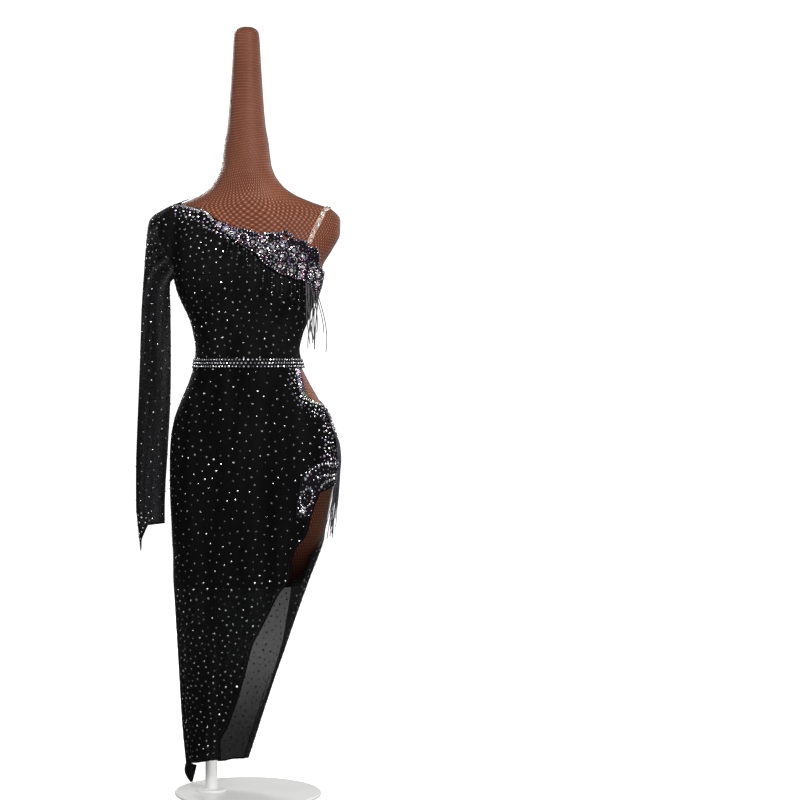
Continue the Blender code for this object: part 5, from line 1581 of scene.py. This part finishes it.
def belt(materials):
    rows, columns = BELT_GRID
    angles = (360.0 * np.arange(columns) / columns)[None]
    heights = np.linspace(BELT_LOW, BELT_HIGH, rows)[:, None]
    angles, heights = np.broadcast_arrays(angles, heights)
    crown = BELT_CROWN * (1 - np.linspace(-1, 1, rows)[:, None, None] ** 2)
    base = lifted(FORM, angles, heights, TRIM_LIFT)
    grid = Grid(base + outward(FORM, angles, heights) * (crown + BELT_SWELL), wrap=True)
    piece = shell("belt_band", grid, BELT_WALL, materials["belt"])
    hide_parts("belt")
    stones = Stones(51)
    for k, level in enumerate(BELT_LEVELS):
        at = (np.arange(BELT_STONES) + 0.5 * (k % 2)) * columns / BELT_STONES
        stones.add(grid, (np.full(BELT_STONES, level), at), BELT_STONE, CLEAR_TINTS, SPARKLING, 0.08, 0.16)
    stones.make("belt_crystals", materials)
    return piece


def straps(materials):
    shoulder = on_form(SHOULDER_STRAP_FRONT) + [(90.0, ridge_height(SHOULDER_STRAP_TOP_X))]
    shoulder += on_form(SHOULDER_STRAP_BACK, back=True)
    across = [BACK_STRAP_SIDE] + on_form(BACK_STRAP, back=True)
    grids = {
        "shoulder_strap": ribbon_grid(shoulder, SHOULDER_STRAP_WIDTH),
        "back_strap": ribbon_grid(across, BACK_STRAP_WIDTH),
    }
    pieces = {}
    for k, (name, grid) in enumerate(grids.items()):
        pieces[name] = shell(name + "_tape", grid, TAPE_WALL, materials["nude"])
        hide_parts(name)
        stones = Stones(61 + k)
        rows = np.arange(len(grid.points), dtype=float)
        for column, offset in STRAP_STONES:
            places = spaced(grid, (rows, np.full(len(rows), column)), STRAP_SPACING, offset)
            stones.add(grid, places, STRAP_STONE, BLUSH_TINTS + CLEAR_TINTS, CLOSE_SET, 0.12)
        stones.make(name + "_crystals", materials)
    return pieces


def slider(materials):
    """A length adjuster: a frame with a middle bar, as one rounded wire each."""
    angle = float(angle_at(FORM, SLIDER_X, SLIDER_HEIGHT, back=True))
    centre = lifted(FORM, angle, SLIDER_HEIGHT, STRAP_LIFT + SLIDER_LIFT)
    out = outward(FORM, angle, SLIDER_HEIGHT)
    right = unit(np.cross([0.0, 0.0, 1.0], out))
    up = np.cross(out, right)

    def squared(share, half):
        return np.sign(share) * abs(share) ** SLIDER_CORNERS * half

    frame = []
    for k in range(SLIDER_SIDES + 1):
        turn = math.tau * k / SLIDER_SIDES
        x, y = squared(math.cos(turn), SLIDER_HALF_WIDE), squared(math.sin(turn), SLIDER_HALF_TALL)
        frame.append(centre + right * x + up * y)
    bar = [centre + up * y for y in np.linspace(-SLIDER_BAR, SLIDER_BAR, 5)]
    piece = tubes("strap_slider_frame", [frame, bar], SLIDER_WIRE, materials["metal"], sides=8)
    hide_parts("strap_slider")


def cut_round(grid, middle, radius):
    """Marks the faces inside a round hole, and draws the points beside it to its edge."""
    away = grid.points - middle
    away -= grid.normals * (away * grid.normals).sum(-1, keepdims=True)
    distance = np.linalg.norm(away, axis=-1)
    inside = distance < radius
    r, c = grid_faces(*grid.points.shape[:2], grid.wrap)
    gone = inside[r, c].any(1)
    edge = np.zeros(inside.shape, bool)
    edge[r[gone], c[gone]] = True
    edge &= ~inside
    pull = (radius / distance[edge] - 1)[:, None]
    grid.points[edge] += away[edge] * pull
    return gone


def neck_applique(materials):
    grid = neck_applique_grid()
    x, z, hole = NECK_OPEN_RING
    ((open_angle, _),) = on_form([(x, z)])
    middle = lifted(FORM, open_angle, z, APPLIQUE_LIFT)
    gone = cut_round(grid, middle, hole)
    piece = shell("neck_applique_lace", grid, LACE_WALL, materials["lace"], gone)
    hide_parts("neck_applique")
    stones, cords = Stones(71), []
    mixed, clearer = PINK_TINTS + CLEAR_TINTS, PINK_TINTS + CLEAR_TINTS * 2
    applique_ring(stones, cords, FORM, open_angle, z, hole + OPEN_RING_GROWTH, PINK_TINTS, OPEN_SMALL)
    for k, (x, z, radius) in enumerate(NECK_RINGS):
        centre = 0.0 if k % OPEN_EVERY == 3 else NECK_CENTRE
        place = on_form([(x, z)])[0]
        applique_ring(stones, cords, FORM, *place, radius, clearer, NECK_SMALL, centre)
    clear = lambda place: np.linalg.norm(place - middle, axis=-1) > hole + OPEN_RING_CLEAR
    stones.fill(grid, NECK_ZONE, clear, mixed, CLOSE_SET)
    edge_rows(stones, grid, "bottom", LOW_SCALLOP_ROWS, mixed, CLOSE_SET)
    edge_rows(stones, grid, "top", TOP_SCALLOP_ROWS, clearer)
    stones.make("neck_applique_crystals", materials)
    tubes("neck_applique_loops", cords, LOOP_CORD, materials["thread"])
    return piece


def hip_applique(materials):
    grid = hip_applique_grid()
    piece = shell("hip_applique_lace", grid, LACE_WALL, materials["lace"])
    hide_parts("hip_applique")
    stones, cords = Stones(72), []
    for angle, z, radius, tall, centre in HIP_RINGS:
        applique_ring(stones, cords, SKIRT, angle, z, radius, CLEAR_TINTS, HIP_SMALL, centre, tall)
    for arc in HIP_ARCS:
        places = along_body(SKIRT, arc, ARC_SPACING)
        stones.add_on(SKIRT, *places, RING_LIFT, ARC_STONE, CLEAR_TINTS, SIDE_GLEAM, 0.3)
        cords.append(lifted(SKIRT, *along_body(SKIRT, arc, ARC_CORD_SPACING), CORD_LIFT))
    stones.fill(grid, HIP_ZONE, lambda place: ~at_side(place), VIOLET_TINTS + CLEAR_TINTS, CLOSE_SET)
    side_crystals(grid, stones)
    stones.make("hip_applique_crystals", materials)
    tubes("hip_applique_loops", cords, LOOP_CORD, materials["thread"])
    return piece


# Fringes


def strand_line(body, angle, height, lift, length, random, swing=1.0, lean=0.0):
    """One strand: it follows the body down from its root, then hangs free in a slight curve.
    lean draws it towards the middle."""
    points = [lifted(body, angle, height, lift)]
    sway = random.uniform(-1, 1, 2) * swing
    (across, turn_across), (forward, turn_forward) = SWAY_ACROSS, SWAY_FORWARD
    drop = length / STRAND_SEGMENTS
    for k in range(STRAND_SEGMENTS):
        f = (k + 1) / STRAND_SEGMENTS
        point = points[-1] + np.array([0, 0, -drop])
        point[0] += drop * (across * sway[0] * math.sin(turn_across * f + sway[1]) - lean)
        point[1] += drop * forward * sway[1] * math.sin(turn_forward * f)
        points.append(pushed_clear(body, point, lift + STRAND_CLEAR))
    return np.array(points)


def pushed_clear(body, point, lift):
    centre, wide, front, back, middle, power = (float(v) for v in section(body, point[2]))
    across, forward = point[0] - centre, middle - point[1]
    bust = float(cup(across, point[2])) if forward > 0 else 0.0
    forward -= bust
    deep = front if forward > 0 else back
    inside = abs(across / (wide + lift)) ** power + abs(forward / (deep + lift)) ** power
    if inside >= 1:
        return point
    out = inside ** (-1 / power)
    return np.array([centre + across * out, middle - forward * out - bust, point[2]])


def fringe(name, strands, head, materials):
    """strands gives the lines of each thickness with their tints, and head the tape's line."""
    for kind, radius, lines, tints in strands:
        tubes(name + kind, lines, radius, materials["strand"], sides=5, tints=tints)
    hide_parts(name)
    tubes(name + "_tape", [head], FRINGE_TAPE, materials["binding"])


def strand_tints(colour, low, high, lines, random):
    return [np.array(colour) * random.uniform(low, high) for _ in lines]


def bust_root(share):
    """Angle and height of a strand's root under the neck applique."""
    x = mix(*BUST_FRINGE_X, share)
    height = smooth_between(NECK_APPLIQUE, x, 2) - SCALLOP - ROOT_DROP
    return float(angle_at(FORM, x, height)), height


def bust_fringe(random, materials):
    lift = BUST_FRINGE_LIFT
    thin, thick = [], []
    for k in range(BUST_THIN_STRANDS):
        share = BUST_THIN_SHARE * (k + 0.5) / BUST_THIN_STRANDS
        length = mix(*BUST_THIN_LENGTHS, share) * random.uniform(*BUST_UNEVEN)
        thin.append(strand_line(FORM, *bust_root(share), lift, length, random))
    for k in range(BUST_THICK_STRANDS):
        share = mix(BUST_THIN_SHARE, 1.0, (k + 0.5) / BUST_THICK_STRANDS)
        length = mix(*BUST_THICK_LENGTHS, random.random())
        thick.append(strand_line(FORM, *bust_root(share), lift, length, random, BUST_SWING))
    beads = Stones(83)
    for line in thin[::2]:
        out = unit(line[2::3] * [1.0, 1.0, 0.0])
        right = unit(np.cross([0.0, 0.0, 1.0], out))
        beads.add_at(line[2::3], out, right, BUST_BEAD, VIOLET_TINTS, DIM, 0.1, 0.3)
    beads.make("bust_fringe_beads", materials)
    roots = np.array([bust_root(share) for share in np.linspace(0, 1, 2 * TAPE_POINTS)])
    head = lifted(FORM, *roots.T, lift - TAPE_SINK)
    strands = (
        ("_strands", BUST_THICK, thick, strand_tints(FRINGE_GREY, 0.4, 1.3, thick, random)),
        ("_threads", BUST_THIN, thin, strand_tints(FRINGE_DARK, 0.7, 1.5, thin, random)),
    )
    fringe("bust_fringe", strands, head, materials)


def hip_fringe(random, materials):
    lines, lift = [], HIP_FRINGE_LIFT
    for k in range(HIP_STRANDS):
        angle, height = (mix(a, b, (k + 0.5) / HIP_STRANDS) for a, b in zip(*HIP_FRINGE_ENDS))
        length = mix(*HIP_LENGTHS, 0.5 + 0.5 * math.sin(HIP_WAVE * k))
        lines.append(strand_line(SKIRT, angle, height, lift, length, random, HIP_SWING, HIP_LEAN))
    roots = (np.linspace(a, b, TAPE_POINTS) for a, b in zip(*HIP_FRINGE_ENDS))
    head = lifted(SKIRT, *roots, lift - TAPE_SINK)
    tints = strand_tints(FRINGE_BLUE, 0.6, 1.6, lines, random)
    fringe("hip_fringe", (("_strands", HIP_STRAND, lines, tints),), head, materials)


def hem_tail(materials):
    """The pointed corner of cloth at the side hem, tucked behind the hem and folded over once."""
    levels, columns = TAIL_GRID
    hem_height = FRONT_HEM[0][1]
    across = np.linspace(0, 1, columns)
    angles = mix(*TAIL_ANGLES, across)
    hem = lifted(SKIRT, angles, hem_height - TAIL_DROP, CLOTH_LIFT)
    tip = np.array(TAIL_TIP) + mix(-TAIL_TIP_HALF, TAIL_TIP_HALF, across)[:, None] * [1.0, 0.0, 0.0]
    rows = []
    for level in np.linspace(0, 1, levels):
        row = mix(tip, hem, level)
        row[:, 0] -= TAIL_FLARE * (1 - across) * math.sin(math.pi * level)
        row[:, 1] -= TAIL_FOLD * math.sin(math.pi * level) * np.sin(math.tau * across)
        rows.append(row)
    tucked = rows[-1] + (rows[-1] - rows[-2]) * TAIL_TUCK
    rows.append(tucked - outward(SKIRT, angles, hem_height) * 2 * CLOTH_WALL)
    grid = Grid(rows)
    piece = shell("hem_tail_cloth", grid, CLOTH_WALL, materials["body"])
    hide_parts("hem_tail")
    rolled_edge("hem_tail_edge", grid, "right", materials, NARROW_EDGE)
    rolled_edge("hem_tail_outer_edge", grid, "left", materials, NARROW_EDGE)
    return piece


# Scene


def light(name, place, size, power):
    data = bpy.data.lights.new(name, "AREA")
    data.shape = "RECTANGLE"
    data.size, data.size_y = size
    data.energy = power
    lamp = bpy.data.objects.new(name, data)
    bpy.context.scene.collection.objects.link(lamp)
    lamp.location = place
    direction = Vector(LIGHTS_TARGET) - Vector(place)
    lamp.rotation_euler = direction.to_track_quat("-Z", "Y").to_euler()


def backdrop(name, verts, faces, glow):
    """Part of the white surroundings, which sends no light to the garment."""
    nodes = Nodes(name)
    nodes.set(Base_Color=(0.8, 0.8, 0.8, 1.0), Emission_Color=(1.0, 1.0, 1.0, 1.0))
    nodes.set(Emission_Strength=glow, Roughness=0.9)
    piece = add_mesh(name, verts, faces, nodes.material, smooth=False)
    piece.visible_diffuse = False
    piece.visible_glossy = False
    piece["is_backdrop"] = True
    return piece


def studio():
    """White surroundings, soft lights on the front and the back, and the camera."""
    k = np.arange(BACKDROP_SIDES)
    turn = k * math.tau / BACKDROP_SIDES
    ring = np.stack([np.cos(turn), np.sin(turn), 0 * turn], 1) * BACKDROP_RADIUS
    backdrop("studio_floor", ring, [tuple(range(BACKDROP_SIDES))], FLOOR_GLOW)
    wall = np.concatenate([ring, ring + [0.0, 0.0, BACKDROP_HEIGHT]])
    after = (k + 1) % BACKDROP_SIDES
    faces = np.stack([k, after, after + BACKDROP_SIDES, k + BACKDROP_SIDES], 1)
    backdrop("studio_wall", wall, faces, BACKDROP_GLOW).visible_shadow = False

    scene = bpy.context.scene
    world = bpy.data.worlds.new("studio")
    scene.world = world
    world.use_nodes = True
    world.node_tree.nodes["Background"].inputs["Color"].default_value = (1.0, 1.0, 1.0, 1.0)
    world.node_tree.nodes["Background"].inputs["Strength"].default_value = WORLD_LIGHT
    for settings in LIGHTS:
        light(*settings)

    camera = bpy.data.cameras.new("camera")
    camera.sensor_width = SENSOR
    camera.lens = SENSOR * CAMERA_DISTANCE / FRAME_WIDTH
    camera.shift_x = FIGURE_SHIFT
    holder = bpy.data.objects.new("camera", camera)
    scene.collection.objects.link(holder)
    holder.location = (0.0, -CAMERA_DISTANCE, CAMERA_HEIGHT)
    holder.rotation_euler = (math.pi / 2, 0, 0)
    scene.camera = holder
    scene.view_settings.view_transform = "Standard"


def main():
    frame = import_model()
    materials = make_materials()
    form(materials)
    cloth = bodice(materials)
    skirts, front_skirt = skirt(materials)
    cut_out_crystals(front_skirt, materials)
    sleeve_piece = sleeve(materials)
    belt_piece = belt(materials)
    strap_pieces = straps(materials)
    slider(materials)
    neck = neck_applique(materials)
    hip = hip_applique(materials)
    random = np.random.default_rng(81)
    bust_fringe(random, materials)
    hip_fringe(random, materials)
    tail = hem_tail(materials)
    for name in ("pole", "base"):
        frame["nodes"][name].data.materials.clear()
        frame["nodes"][name].data.materials.append(materials["paint"])
    studio()

    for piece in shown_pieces():
        if body_of(piece) is None:
            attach(piece, "root")


main()
